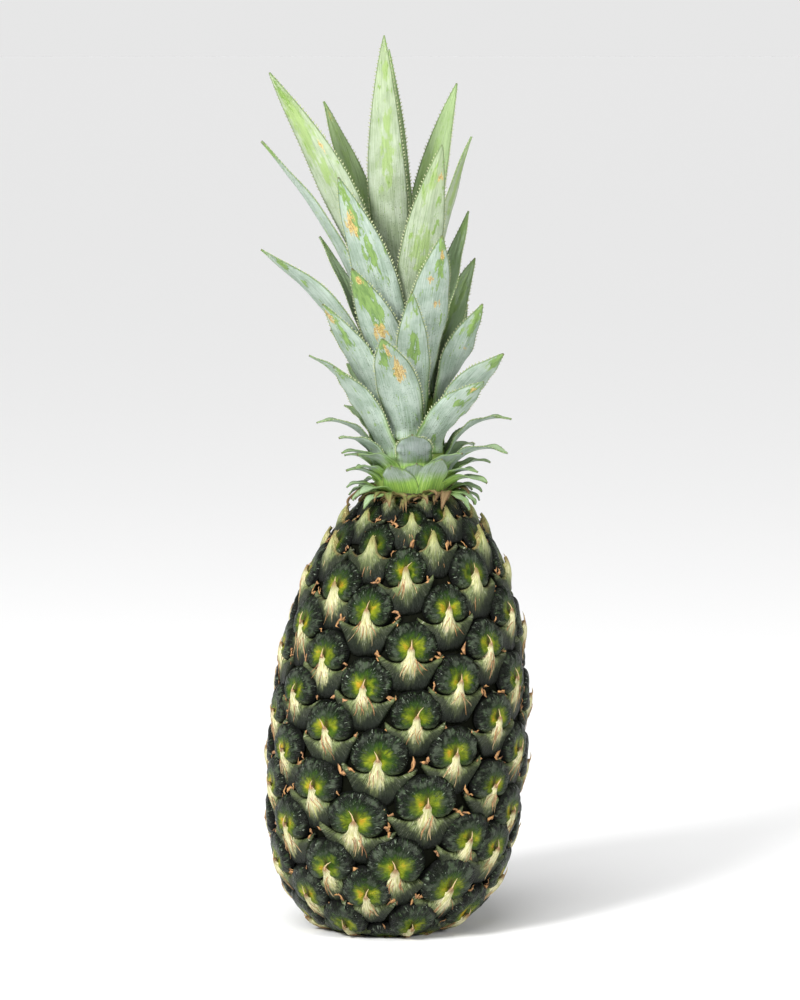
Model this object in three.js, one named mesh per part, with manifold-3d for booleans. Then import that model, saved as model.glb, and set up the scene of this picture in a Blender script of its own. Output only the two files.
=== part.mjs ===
// A whole fresh pineapple standing on its base: the many-eyed fruit, the cut end of the stalk
// that fed it, and the leafy crown that grows from its top on a short stem.
// Millimetres, +Z up. The origin is the centre of the base, and the front of the fruit faces -Y.
import * as THREE from "three";
import { mergeVertices } from "three/addons/utils/BufferGeometryUtils.js";
import Module from "manifold-3d";

const wasm = await Module();
wasm.setup();

const TURN = 2 * Math.PI;
const radians = THREE.MathUtils.degToRad;
const clamp = THREE.MathUtils.clamp;

// Driving dimensions of the fruit.
const FRUIT_RADIUS = 54.5; // at the belly, under the relief of the eyes
const BELLY_HEIGHT = 84; // where the fruit is widest
const SHOULDER_RISE = 113; // half-height of the ellipse above the belly
const BASE_DROP = 86; // half-height of the squarer curve below the belly, cut flat by the base
const BASE_SQUARENESS = 2.8; // exponent of that curve, 2 being an ellipse
const CROWN_SEAT_RADIUS = 20; // the fruit ends here, under the crown
const BASE_INNER_RADIUS = 23; // the eyes end here, round the stalk
const FRUIT_LEAN = 0.055; // sideways shift to +X for each millimetre of height

// The eyes sit on one low spiral. Their steps make eight spirals one way and nine the other.
const EYE_TURN = radians(42.19); // from one eye to the next
const EYE_RISE = 1.83; // along the skin, from one eye to the next
const EYE_CROWDING_RADIUS = 34; // inside this radius the eyes get shorter towards each end
const STEPS_RIGHT = 9; // eyes to the next one up and to the right
const STEPS_LEFT = 8; // eyes to the next one up and to the left
const FIRST_EYE_ANGLE = radians(-84); // an eye of the front row, above the belly
const FIRST_EYE_HEIGHT = 94;
const EYE_ROUNDING = 0.13; // how far an eye's upper edges bulge over the eyes above
const EYE_DOME = 3.4;
const EYE_GROOVE = 1.3;
const BRACT_RIDGE = 1.3; // the pale scale below each eye's centre
const BRACT_POINT = 1.3; // its dry point, outwards
const BRACT_POINT_LIFT = 1.0; // and upwards, in rises of the low spiral
const EYE_GRID = [-0.5, -0.3, 0, 0.2, 0.4]; // grid lines across one eye, in steps of the spirals

// Driving dimensions of the stalk and the crown.
const STALK_RADIUS = 10.5;
const STALK_LENGTH = 8;
const GAP = 0.35; // between pieces that meet
const CROWN_HEIGHT = 189.5; // the foot of the crown's stem
const CROWN_OFFSET = 11.5; // of its foot, to +X
const CROWN_LEAN = -0.06; // sideways shift to +X for each millimetre above the foot
const STEM_HEIGHT = 80;
const STEM_FOOT_RADIUS = 17;
const STEM_TOP_RADIUS = 4;
const BLADE_BASE_THICKNESS = 0.9;
const BLADE_THICKNESS = 0.8;
const BLADE_EDGE_THICKNESS = 0.6;
const CHANNEL_RADIUS = 17; // how tightly a blade is rolled across, past its root
const LEAF_TAPER = 0.7; // the share of a leaf that narrows to the tip

// A closed mesh as a solid, and a solid as a geometry.
function solid(positions, faces) {
  const geometry = new THREE.BufferGeometry();
  geometry.setAttribute("position", new THREE.Float32BufferAttribute(positions.flat(), 3));
  geometry.setIndex(faces.flat());
  const merged = mergeVertices(geometry, 1e-4);
  return new wasm.Manifold(
    new wasm.Mesh({
      numProp: 3,
      vertProperties: merged.attributes.position.array,
      triVerts: new Uint32Array(merged.index.array),
    }),
  );
}

function solidOf(geometry) {
  const bare = geometry.index ? geometry.toNonIndexed() : geometry.clone();
  bare.deleteAttribute("normal");
  bare.deleteAttribute("uv");
  const merged = mergeVertices(bare, 1e-3);
  return new wasm.Manifold(
    new wasm.Mesh({
      numProp: 3,
      vertProperties: merged.attributes.position.array,
      triVerts: new Uint32Array(merged.index.array),
    }),
  );
}

function geometryOf(body) {
  const mesh = body.getMesh();
  const geometry = new THREE.BufferGeometry();
  const points = new Float32Array(mesh.numVert * 3);
  for (let i = 0; i < mesh.numVert; i++) {
    points.set(mesh.vertProperties.subarray(i * mesh.numProp, i * mesh.numProp + 3), i * 3);
  }
  geometry.setAttribute("position", new THREE.BufferAttribute(points, 3));
  geometry.setIndex(new THREE.BufferAttribute(new Uint32Array(mesh.triVerts), 1));
  return geometry;
}

// The fruit's outline from the base out, up and in to the crown's seat, as radius, height and
// spread, which is the way along the outline counted in eyes. Every eye is as wide in angle and
// as tall in spread as any other.
function fruitOutline() {
  const outline = [];
  const samples = 600;
  const lowest = -Math.acos(Math.pow(BASE_INNER_RADIUS / FRUIT_RADIUS, BASE_SQUARENESS / 2));
  const highest = Math.acos(CROWN_SEAT_RADIUS / FRUIT_RADIUS);
  let spread = 0;
  for (let i = 0; i <= samples; i++) {
    const turn = lowest + ((highest - lowest) * i) / samples;
    const power = turn < 0 ? 2 / BASE_SQUARENESS : 1;
    const radius = FRUIT_RADIUS * Math.pow(Math.cos(turn), power);
    const rise = Math.sign(turn) * Math.pow(Math.abs(Math.sin(turn)), power);
    const height = Math.max(0, BELLY_HEIGHT + rise * (turn < 0 ? BASE_DROP : SHOULDER_RISE));
    const last = outline[outline.length - 1];
    if (last) {
      const step = Math.hypot(radius - last.radius, height - last.height);
      spread += step / (EYE_RISE * Math.min(1, radius / EYE_CROWDING_RADIUS));
    }
    outline.push({ radius, height, spread });
  }
  return outline;
}

const OUTLINE = fruitOutline();

function outlineAt(key, value) {
  let low = 0;
  let high = OUTLINE.length - 1;
  while (high - low > 1) {
    const middle = (low + high) >> 1;
    if (OUTLINE[middle][key] <= value) low = middle;
    else high = middle;
  }
  const a = OUTLINE[low];
  const b = OUTLINE[high];
  const share = clamp((value - a[key]) / (b[key] - a[key]), 0, 1);
  const run = new THREE.Vector2(b.radius - a.radius, b.height - a.height).normalize();
  return {
    radius: a.radius + (b.radius - a.radius) * share,
    height: a.height + (b.height - a.height) * share,
    spread: a.spread + (b.spread - a.spread) * share,
    out: run.y, // the outward normal, along the radius and along Z
    up: -run.x,
  };
}

// How far the skin stands out at a place in an eye. right and left count along the two spirals
// from the eye's centre, from -0.5 to 0.5, and both rise towards the crown.
function eyeRelief(right, left) {
  const across = right - left;
  const upwards = right + left;
  const inside = 1 - 2 * Math.max(Math.abs(right), Math.abs(left));
  const dome = EYE_DOME * (1 - Math.pow(1 - inside, 3));
  const fall = 1 - 0.5 * clamp(-upwards, 0, 1);
  const ridge = BRACT_RIDGE * Math.exp(-Math.pow(across / 0.25, 2)) * clamp(1 - Math.abs(upwards + 0.25) * 2, 0, 1);
  const atCentre = Math.abs(right) + Math.abs(left) < 1e-6;
  return dome * fall + ridge - EYE_GROOVE + (atCentre ? BRACT_POINT : 0);
}

function fruitSolid() {
  const lines = EYE_GRID.length;
  const firstSpread = outlineAt("height", FIRST_EYE_HEIGHT).spread;
  const lastSpread = OUTLINE[OUTLINE.length - 1].spread;
  const around = STEPS_LEFT * lines; // grid lines of one family round the fruit
  const turns = (eyes) => Math.round((eyes * EYE_TURN) / TURN) * TURN;
  const rightTurn = STEPS_RIGHT * EYE_TURN - turns(STEPS_RIGHT);
  const leftTurn = STEPS_LEFT * EYE_TURN - turns(STEPS_LEFT);

  function gridPoint(a, b) {
    const right = Math.floor(a / lines);
    const left = Math.floor(b / lines);
    const p = EYE_GRID[a - right * lines];
    const q = EYE_GRID[b - left * lines];
    const isCentre = p === 0 && q === 0;
    const alongRight = right + p + EYE_ROUNDING * Math.cos(Math.PI * q);
    const alongLeft = left + q + EYE_ROUNDING * Math.cos(Math.PI * p);
    const eyes = STEPS_RIGHT * alongRight + STEPS_LEFT * alongLeft;
    const spread = firstSpread + eyes + (isCentre ? BRACT_POINT_LIFT : 0);
    const angle = FIRST_EYE_ANGLE + rightTurn * alongRight + leftTurn * alongLeft;
    return { spread, angle, p, q };
  }

  // The mesh is every grid square that lies wholly on the outline, wrapped round the fruit.
  const margin = 0.05;
  const positions = [];
  const numbers = new Map();
  function vertex(a, b) {
    while (a >= around) {
      a -= around;
      b += STEPS_RIGHT * lines;
    }
    const name = a + "," + b;
    if (numbers.has(name)) return numbers.get(name);
    const { spread, angle, p, q } = gridPoint(a, b);
    if (spread < margin || spread > lastSpread - margin) {
      numbers.set(name, -1);
      return -1;
    }
    const at = outlineAt("spread", spread);
    const relief = eyeRelief(p, q) * Math.min(1, at.radius / EYE_CROWDING_RADIUS);
    const ends = clamp(Math.min(spread, lastSpread - spread) / 4, 0, 1);
    const radius = at.radius + relief * at.out * ends;
    const height = Math.max(0, at.height + relief * at.up * ends);
    const x = radius * Math.cos(angle) + FRUIT_LEAN * height;
    positions.push([x, radius * Math.sin(angle), height]);
    numbers.set(name, positions.length - 1);
    return positions.length - 1;
  }

  const faces = [];
  const reach = Math.ceil((lastSpread / STEPS_LEFT + STEPS_RIGHT + 2) * lines);
  for (let a = 0; a < around; a++) {
    for (let b = -reach; b < reach; b++) {
      const corners = [vertex(a, b), vertex(a + 1, b), vertex(a + 1, b + 1), vertex(a, b + 1)];
      if (corners.some((c) => c < 0)) continue;
      faces.push([corners[0], corners[1], corners[2]], [corners[0], corners[2], corners[3]]);
    }
  }
  closeEnds(positions, faces);
  return solid(positions, faces);
}

// Closes the two open ends of the wrapped grid, each with a fan about a point on the axis.
function closeEnds(positions, faces) {
  const next = new Map();
  const edges = new Set(faces.flatMap(([a, b, c]) => [a + "," + b, b + "," + c, c + "," + a]));
  for (const edge of edges) {
    const [a, b] = edge.split(",").map(Number);
    if (!edges.has(b + "," + a)) next.set(b, a);
  }
  while (next.size) {
    const loop = [];
    let at = next.keys().next().value;
    while (next.has(at)) {
      loop.push(at);
      const to = next.get(at);
      next.delete(at);
      at = to;
    }
    const mean = [0, 1, 2].map((k) => loop.reduce((sum, v) => sum + positions[v][k], 0) / loop.length);
    const isBase = mean[2] < BELLY_HEIGHT;
    const height = isBase ? 0 : OUTLINE[OUTLINE.length - 1].height - 0.4;
    positions.push([FRUIT_LEAN * height, 0, height]);
    const centre = positions.length - 1;
    loop.forEach((v, i) => faces.push([centre, v, loop[(i + 1) % loop.length]]));
  }
}

// The hole in the base in which the stalk's end sits.
function stalkSocket() {
  const socket = new THREE.CylinderGeometry(STALK_RADIUS + GAP, STALK_RADIUS + GAP, 2 * (STALK_LENGTH + GAP), 20);
  socket.rotateX(Math.PI / 2);
  return solidOf(socket);
}

function stalkGeometry() {
  const outline = new THREE.Shape();
  const sides = 20;
  for (let i = 0; i < sides; i++) {
    const angle = (TURN * (i + 0.5)) / sides;
    const radius = STALK_RADIUS * (0.97 + 0.03 * Math.cos(3 * angle));
    const point = [radius * Math.cos(angle), radius * Math.sin(angle)];
    if (i) outline.lineTo(...point);
    else outline.moveTo(...point);
  }
  outline.closePath();
  return new THREE.ExtrudeGeometry(outline, { depth: STALK_LENGTH, bevelEnabled: false });
}

// The crown. Every leaf grows from the stem at its own side and height, rises along the stem and
// arches over to its tip. Its channelled blade faces the stem at the root and turns on the way up.
function smooth(value) {
  return THREE.MathUtils.smoothstep(value, 0, 1);
}

function stemRadius(height) {
  const share = clamp(height / STEM_HEIGHT, 0, 1);
  return THREE.MathUtils.lerp(STEM_FOOT_RADIUS, STEM_TOP_RADIUS, Math.pow(share, 1.4));
}

// A place on the crown from its distance, angle and height about the stem's leaning axis.
function crownPoint(radius, angle, height) {
  const x = CROWN_OFFSET + CROWN_LEAN * height + radius * Math.cos(angle);
  return new THREE.Vector3(x, radius * Math.sin(angle), CROWN_HEIGHT + height);
}

function horizontal(angle) {
  return new THREE.Vector3(Math.cos(angle), Math.sin(angle), 0);
}

function leafMidline(leaf, foot, rootDepth) {
  const start = crownPoint(stemRadius(foot) - rootDepth, radians(leaf.angle), foot);
  const tip = new THREE.Vector3(CROWN_OFFSET + leaf.tip[0], leaf.tip[1], CROWN_HEIGHT + leaf.tip[2]);
  const chord = new THREE.Vector3().subVectors(tip, start);
  const reach = Math.hypot(chord.x, chord.y);
  const lean = Math.atan2(reach, chord.z);
  const startLean = Math.max(radians(3), lean - radians(leaf.bend));
  const endLean = lean + radians(leaf.bend) * 1.15;
  const hold = chord.length() * 0.38;
  const first = horizontal(radians(leaf.angle)).multiplyScalar(hold * Math.sin(startLean));
  first.z = hold * Math.cos(startLean);
  const last = new THREE.Vector3(chord.x / reach, chord.y / reach, 0).multiplyScalar(hold * Math.sin(endLean));
  last.z = hold * Math.cos(endLean);
  return new THREE.CubicBezierCurve3(start, first.add(start), last.multiplyScalar(-1).add(tip), tip);
}

function leafWidth(leaf, share) {
  const taper = Math.min(1, (1 - share) / LEAF_TAPER);
  return leaf.width * Math.sin((Math.PI / 2) * Math.pow(taper, 0.9));
}

function leafSolid(leaf, foot, rootDepth, stations, acrossSteps, widestAngle) {
  const midline = leafMidline(leaf, foot, rootDepth);
  const rootRadius = stemRadius(foot) + GAP;
  const positions = [];
  const ringSize = 2 * (acrossSteps + 1);
  for (let i = 0; i <= stations; i++) {
    const share = 0.985 * (1 - Math.pow(1 - i / stations, 1.25));
    const at = midline.getPoint(share);
    const along = midline.getTangent(share);
    const turned = smooth((share - 0.08) / 0.6);
    const face = radians(THREE.MathUtils.lerp(leaf.angle, leaf.face, turned));
    const level = horizontal(face + Math.PI / 2);
    const outwards = level.cross(along).normalize();
    const sideways = new THREE.Vector3().crossVectors(along, outwards);
    at.x += (leaf.bow || 0) * 4 * share * (1 - share);
    const channel = THREE.MathUtils.lerp(Math.max(rootRadius, 5), CHANNEL_RADIUS, smooth(share * 2));
    const wanted = leafWidth(leaf, share) / 2 / channel;
    const halfAngle = widestAngle * Math.tanh(wanted / widestAngle);
    const middle = THREE.MathUtils.lerp(BLADE_BASE_THICKNESS, BLADE_THICKNESS, Math.min(1, share * 2));
    for (let side = 0; side < 2; side++) {
      for (let j = 0; j <= acrossSteps; j++) {
        const across = (side ? -1 : 1) * (1 - (2 * j) / acrossSteps);
        const thickness = THREE.MathUtils.lerp(middle, BLADE_EDGE_THICKNESS, across * across);
        const radius = channel + (side ? thickness : 0); // the inner face, then the outer face
        const turn = across * halfAngle;
        const point = at.clone().addScaledVector(sideways, radius * Math.sin(turn));
        point.addScaledVector(outwards, radius * Math.cos(turn) - channel);
        positions.push(point.toArray());
      }
    }
  }
  const faces = [];
  for (let i = 0; i < stations; i++) {
    for (let j = 0; j < ringSize; j++) {
      const a = i * ringSize + j;
      const b = i * ringSize + ((j + 1) % ringSize);
      faces.push([a, b, a + ringSize], [b, b + ringSize, a + ringSize]);
    }
  }
  const last = stations * ringSize;
  for (let j = 0; j < acrossSteps; j++) {
    const j1 = ringSize - 1 - j;
    faces.push([j + 1, j, j1 - 1], [j1 - 1, j, j1]);
    faces.push([last + j, last + j + 1, last + j1 - 1], [last + j, last + j1 - 1, last + j1]);
  }
  return solid(positions, faces);
}

// The large leaves from the heart of the crown outwards. angle is the side of the stem that the
// leaf grows from and face the side that its outer face turns to, in degrees from +X towards +Y,
// so -90 is the front. tip is measured from the foot of the stem. bend is how far it arches, and
// bow how far its middle stands to the side.
const LEAVES = [
  { angle: -97, face: -97, tip: [-13, -4, 204], width: 21, bend: 3, bow: -5 },
  { angle: 88, face: 86, tip: [-11, 7, 198], width: 18, bend: 3, bow: -3 },
  { angle: 162, face: 132, tip: [-40, 17, 175], width: 21, bend: 7 },
  { angle: 40, face: 60, tip: [19, 24, 183], width: 22, bend: 7, bow: -2 },
  { angle: -143, face: -113, tip: [-63, -18, 188], width: 23, bend: 8 },
  { angle: 0, face: -26, tip: [25, 2, 160], width: 16, bend: 9, bow: 1 },
  { angle: -70, face: -78, tip: [12, -26, 157], width: 24, bend: 3, bow: -1 },
  { angle: 110, face: 112, tip: [-17, 43, 147], width: 19, bend: 8 },
  { angle: 178, face: 200, tip: [-67, -3, 158], width: 20, bend: 12 },
  { angle: 80, face: 80, tip: [2, 45, 140], width: 20, bend: 8 },
  { angle: -118, face: -104, tip: [-33, -28, 143], width: 25, bend: 5 },
  { angle: 8, face: 48, tip: [24, 11, 127], width: 15, bend: 6 },
  { angle: -64, face: -72, tip: [12, -33, 118], width: 25, bend: 3 },
  { angle: 159, face: 152, tip: [-42, 27, 115], width: 16, bend: 9 },
  { angle: 101, face: 101, tip: [-14, 50, 112], width: 17, bend: 9 },
  { angle: -172, face: -136, tip: [-67, -10, 111], width: 21, bend: 15 },
  { angle: 40, face: 68, tip: [27, 18, 106], width: 17, bend: 6 },
  { angle: -110, face: -100, tip: [-27, -32, 104], width: 23, bend: 6 },
  { angle: 108, face: 108, tip: [-18, 46, 88], width: 20, bend: 10 },
  { angle: -84, face: -86, tip: [-1, -35, 94], width: 17, bend: 4 },
  { angle: -14, face: -62, tip: [30, -6, 87], width: 18, bend: 6 },
  { angle: 58, face: 58, tip: [24, 42, 84], width: 20, bend: 10 },
  { angle: 155, face: 150, tip: [-37, 20, 74], width: 18, bend: 11 },
  { angle: -142, face: -116, tip: [-40, -24, 88], width: 18, bend: 9 },
  { angle: 82, face: 82, tip: [4, 46, 64], width: 19, bend: 12 },
  { angle: -100, face: -96, tip: [-14, -39, 74], width: 24, bend: 7 },
  { angle: -33, face: -68, tip: [39, -18, 66], width: 20, bend: 8 },
  { angle: 132, face: 132, tip: [-30, 34, 58], width: 18, bend: 14 },
  { angle: 33, face: 45, tip: [34, 25, 58], width: 18, bend: 14 },
  { angle: -168, face: -146, tip: [-46, -12, 65], width: 15, bend: 22 },
  { angle: -55, face: -76, tip: [30, -31, 55], width: 20, bend: 8 },
  { angle: 104, face: 104, tip: [-12, 42, 42], width: 17, bend: 24 },
  { angle: -140, face: -120, tip: [-35, -27, 61], width: 17, bend: 10 },
  { angle: 62, face: 62, tip: [20, 38, 38], width: 17, bend: 26 },
  { angle: 152, face: 150, tip: [-31, 14, 41], width: 14, bend: 24 },
  { angle: 6, face: -20, tip: [43, -2, 36], width: 15, bend: 40 },
  { angle: -176, face: -160, tip: [-43, -9, 35], width: 14, bend: 44 },
  { angle: -86, face: -88, tip: [-2, -29, 31], width: 20, bend: 14 },
  { angle: 84, face: 84, tip: [3, 38, 26], width: 15, bend: 44 },
  { angle: -150, face: -140, tip: [-33, -17, 29], width: 14, bend: 40 },
  { angle: 124, face: 124, tip: [-22, 32, 24], width: 15, bend: 42 },
  { angle: -18, face: -40, tip: [41, -14, 22], width: 15, bend: 42 },
  { angle: 42, face: 42, tip: [27, 26, 22], width: 14, bend: 44 },
];

// The short curled leaves at the foot of the crown, fused to the stem they grow from.
const FOOT_LEAVES = [
  { angle: -128, face: -120, tip: [-25, -20, 22], width: 14, bend: 40 },
  { angle: 160, face: 160, tip: [-31, 10, 19], width: 12, bend: 46 },
  { angle: -68, face: -74, tip: [11, -27, 19], width: 18, bend: 14 },
  { angle: -110, face: -108, tip: [-10, -26, 16], width: 17, bend: 14 },
  { angle: 14, face: 10, tip: [34, 8, 16], width: 12, bend: 46 },
  { angle: 96, face: 96, tip: [-3, 32, 12], width: 13, bend: 48 },
  { angle: -160, face: -155, tip: [-30, -10, 14], width: 11, bend: 46 },
  { angle: -34, face: -50, tip: [32, -16, 9], width: 12, bend: 44 },
  { angle: 60, face: 60, tip: [16, 28, 9], width: 12, bend: 48 },
  { angle: 138, face: 138, tip: [-22, 20, 6], width: 11, bend: 48 },
  { angle: -140, face: -130, tip: [-24, -16, 4], width: 11, bend: 50 },
  { angle: -8, face: -20, tip: [30, -4, 4], width: 10, bend: 52 },
];
const FOOT_LEAF_LOWEST = 3;
const FOOT_LEAF_SPACING = 0.45;
const LEAF_LOWEST = 12.5;
const LEAF_HIGHEST = 76;

function stemSolid() {
  const sides = 18;
  const stem = new THREE.CylinderGeometry(1, 1, STEM_HEIGHT, sides, 8);
  stem.rotateX(Math.PI / 2);
  stem.translate(0, 0, STEM_HEIGHT / 2);
  const at = stem.attributes.position;
  for (let i = 0; i < at.count; i++) {
    const height = at.getZ(i);
    const radius = stemRadius(height) * Math.hypot(at.getX(i), at.getY(i));
    const point = crownPoint(radius, Math.atan2(at.getY(i), at.getX(i)), height);
    at.setXYZ(i, point.x, point.y, point.z);
  }
  let stemBody = solidOf(stem);
  FOOT_LEAVES.forEach((leaf, i) => {
    const foot = FOOT_LEAF_LOWEST + FOOT_LEAF_SPACING * (FOOT_LEAVES.length - 1 - i);
    const rooted = leafSolid(leaf, foot, 2.5, 5, 2, radians(48));
    stemBody = stemBody.add(rooted);
  });
  return stemBody;
}

const MATERIALS = {
  rind: { color: 0x3d4a2c, roughness: 0.45, metalness: 0 },
  stalk: { color: 0xb59c6a, roughness: 0.85, metalness: 0 },
  stem: { color: 0x8fb65a, roughness: 0.6, metalness: 0 },
  leaf: { color: 0xa9c4ad, roughness: 0.55, metalness: 0 },
};

function node(name, geometry, material) {
  const mesh = new THREE.Mesh(geometry, new THREE.MeshStandardMaterial(MATERIALS[material]));
  mesh.name = name;
  return mesh;
}

const pineapple = new THREE.Group();
pineapple.add(node("fruit", geometryOf(fruitSolid().subtract(stalkSocket())), "rind"));
pineapple.add(node("fruit_stalk", stalkGeometry(), "stalk"));

const crown = new THREE.Group();
crown.add(node("crown_stem", geometryOf(stemSolid()), "stem"));
LEAVES.forEach((leaf, i) => {
  const outwards = Math.pow(i / (LEAVES.length - 1), 0.7);
  const foot = THREE.MathUtils.lerp(LEAF_HIGHEST, LEAF_LOWEST, outwards);
  const body = leafSolid(leaf, foot, -GAP, 7, 4, radians(50));
  crown.add(node("leaf_" + String(i + 1).padStart(2, "0"), geometryOf(body), "leaf"));
});
pineapple.add(crown);

export default pineapple;
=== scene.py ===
import bpy
import math
import numpy as np
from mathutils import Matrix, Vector


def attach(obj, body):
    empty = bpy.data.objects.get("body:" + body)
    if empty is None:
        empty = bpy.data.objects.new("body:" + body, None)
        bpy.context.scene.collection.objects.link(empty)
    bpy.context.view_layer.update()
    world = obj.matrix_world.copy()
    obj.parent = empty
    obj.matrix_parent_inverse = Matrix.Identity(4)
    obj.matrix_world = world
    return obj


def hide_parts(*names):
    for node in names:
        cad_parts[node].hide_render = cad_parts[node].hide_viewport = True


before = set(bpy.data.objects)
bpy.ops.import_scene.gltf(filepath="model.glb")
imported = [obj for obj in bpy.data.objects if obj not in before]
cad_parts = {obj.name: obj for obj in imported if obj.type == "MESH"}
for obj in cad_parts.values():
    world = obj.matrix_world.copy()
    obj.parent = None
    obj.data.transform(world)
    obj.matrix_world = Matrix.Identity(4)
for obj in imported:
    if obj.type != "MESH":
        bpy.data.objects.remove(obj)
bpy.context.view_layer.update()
bpy.ops.object.select_all(action="DESELECT")

# The core of the fruit: the tough skin that shows in the grooves between the eyes, coloured near black as
# its own dark tone with the grooves' shade painted in.
# It is one grown body. It is a barrel standing upright, cut flat by the surface it stands on,
# and it leans a little to the right. Everything on the fruit is placed on its outline.
MM = 0.001
FRUIT_RADIUS = 54.5
BELLY_HEIGHT = 84.0
SHOULDER_RISE = 113.0
BASE_DROP = 86.0
BASE_SQUARENESS = 2.8
FRUIT_LEAN = 0.055
EYE_RISE = 1.83
EYE_CROWDING_RADIUS = 34.0
GROOVE_FLOOR = -1.3
CORE_FOOT_RADIUS = 20.0
CORE_RINGS = 70
CORE_SIDES = 96
OUTLINE_TOP_RADIUS = 4.0
OUTLINE_STEPS = 4000
UNDERSIDE = slice(None, 600)
SHOULDER = slice(2500, None)

turn = np.linspace(-math.pi / 2, math.acos(OUTLINE_TOP_RADIUS / FRUIT_RADIUS), OUTLINE_STEPS)
power = np.where(turn < 0, 2 / BASE_SQUARENESS, 1.0)
rise = np.sign(turn) * np.abs(np.sin(turn)) ** power
OUT_R = FRUIT_RADIUS * np.maximum(np.cos(turn), 0) ** power
OUT_Z = np.maximum(0.0, BELLY_HEIGHT + rise * np.where(turn < 0, BASE_DROP, SHOULDER_RISE))
run_r, run_z = np.gradient(OUT_R), np.gradient(OUT_Z)
OUT_NR, OUT_NZ = run_z / np.hypot(run_r, run_z), -run_r / np.hypot(run_r, run_z)
steps = np.hypot(np.diff(OUT_R), np.diff(OUT_Z))
steps = steps / (EYE_RISE * np.clip((OUT_R[1:] + OUT_R[:-1]) / 2 / EYE_CROWDING_RADIUS, 0.3, 1.0))
OUT_S = np.concatenate([[0.0], np.cumsum(steps)])


def spread_of_height(height):
    return float(np.interp(height, OUT_Z[OUT_Z > 0], OUT_S[OUT_Z > 0]))


def on_fruit(angle, spread, lift):
    """Points in metres at an angle, a way up the outline counted in eyes, and millimetres off it."""
    radius = np.interp(spread, OUT_S, OUT_R) + lift * np.interp(spread, OUT_S, OUT_NR)
    height = np.interp(spread, OUT_S, OUT_Z) + lift * np.interp(spread, OUT_S, OUT_NZ)
    height = np.maximum(height, 0.0)
    x = radius * np.cos(angle) + FRUIT_LEAN * height
    return np.stack([x, radius * np.sin(angle), height], -1) * MM


class Wire:
    """A shader socket that can be used in sums."""

    def __init__(self, nodes, socket):
        self.nodes, self.socket = nodes, socket

    def math(self, operation, *rest):
        return self.nodes.node("ShaderNodeMath", {"operation": operation}, dict(enumerate((self, *rest))))

    def __add__(self, other):
        return self.math("ADD", other)

    __radd__ = __add__

    def __sub__(self, other):
        return self.math("SUBTRACT", other)

    def __rsub__(self, other):
        return (self * -1.0) + other

    def __mul__(self, other):
        return self.math("MULTIPLY", other)

    __rmul__ = __mul__

    def __pow__(self, other):
        return self.math("POWER", other)


class Nodes:
    """A node tree, with the one method that adds nodes to it and a few everyday uses of it."""

    def __init__(self, owner, shader, **constants):
        owner.use_nodes = True
        self.tree = owner.node_tree
        self.shader = self.tree.nodes[shader]
        for socket, value in constants.items():
            self.shader.inputs[socket.replace("_", " ")].default_value = value

    def node(self, kind, settings=None, inputs=None, output=0):
        node = self.tree.nodes.new(kind)
        for key, value in (settings or {}).items():
            setattr(node, key, value)
        for key, value in (inputs or {}).items():
            if isinstance(value, Wire):
                self.tree.links.new(value.socket, node.inputs[key])
            else:
                node.inputs[key].default_value = value
        return Wire(self, node.outputs[output])

    def parts(self, vector):
        first = self.node("ShaderNodeSeparateXYZ", None, {0: vector})
        return [Wire(self, socket) for socket in first.socket.node.outputs]

    def attribute(self, name):
        return self.parts(self.node("ShaderNodeAttribute", {"attribute_name": name}, output=1))

    def place(self):
        return self.node("ShaderNodeTexCoord", output=3)

    def noise(self, vector, scale, detail=2.0, roughness=0.5):
        if isinstance(vector, tuple):
            vector = self.node("ShaderNodeCombineXYZ", None, dict(enumerate(vector)))
        values = {"Vector": vector, "Scale": scale, "Detail": detail, "Roughness": roughness}
        return self.node("ShaderNodeTexNoise", None, values)

    def between(self, value, low, high):
        """0 below low, 1 above high, and smooth between them. High may be the lower of the two."""
        settings = {"interpolation_type": "SMOOTHSTEP"}
        if low < high:
            return self.node("ShaderNodeMapRange", settings, {0: value, 1: low, 2: high})
        return self.node("ShaderNodeMapRange", settings, {0: value, 1: high, 2: low, 3: 1.0, 4: 0.0})

    def blend(self, factor, first, second):
        """Factor 0 gives the first colour and 1 the second."""
        first, second = (c if isinstance(c, Wire) else (*c, 1.0) for c in (first, second))
        settings = {"data_type": "RGBA", "clamp_factor": True}
        return self.node("ShaderNodeMix", settings, {0: factor, 6: first, 7: second}, output=2)

    def layers(self, colour, *coats):
        """Each coat, a strength and a colour, is laid over what is under it."""
        for strength, coat in coats:
            colour = self.blend(strength, colour, coat)
        return colour

    def lead(self, wire, socket):
        self.tree.links.new(wire.socket, self.shader.inputs[socket])

    def bump(self, height, distance, strength=1.0):
        values = {"Height": height, "Distance": distance, "Strength": strength}
        self.lead(self.node("ShaderNodeBump", None, values), "Normal")


class Finish(Nodes):
    """A material, with its constant values."""

    def __init__(self, name, **constants):
        self.material = bpy.data.materials.new(name)
        super().__init__(self.material, "Principled BSDF", **constants)


def cut_into_rings(obj, cuts):
    """Cuts the sides of a standing cylinder of unit height into level rings, to be shaped."""
    bpy.context.tool_settings.mesh_select_mode = (False, True, False)
    bpy.ops.object.mode_set(mode="EDIT")
    bpy.ops.mesh.select_all(action="DESELECT")
    bpy.ops.object.mode_set(mode="OBJECT")
    for edge in obj.data.edges:
        ends = [obj.data.vertices[v].co.z for v in edge.vertices]
        edge.select = abs(ends[0] - ends[1]) > 0.5
    bpy.ops.object.mode_set(mode="EDIT")
    bpy.ops.mesh.subdivide(number_cuts=cuts)
    bpy.ops.object.mode_set(mode="OBJECT")


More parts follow.
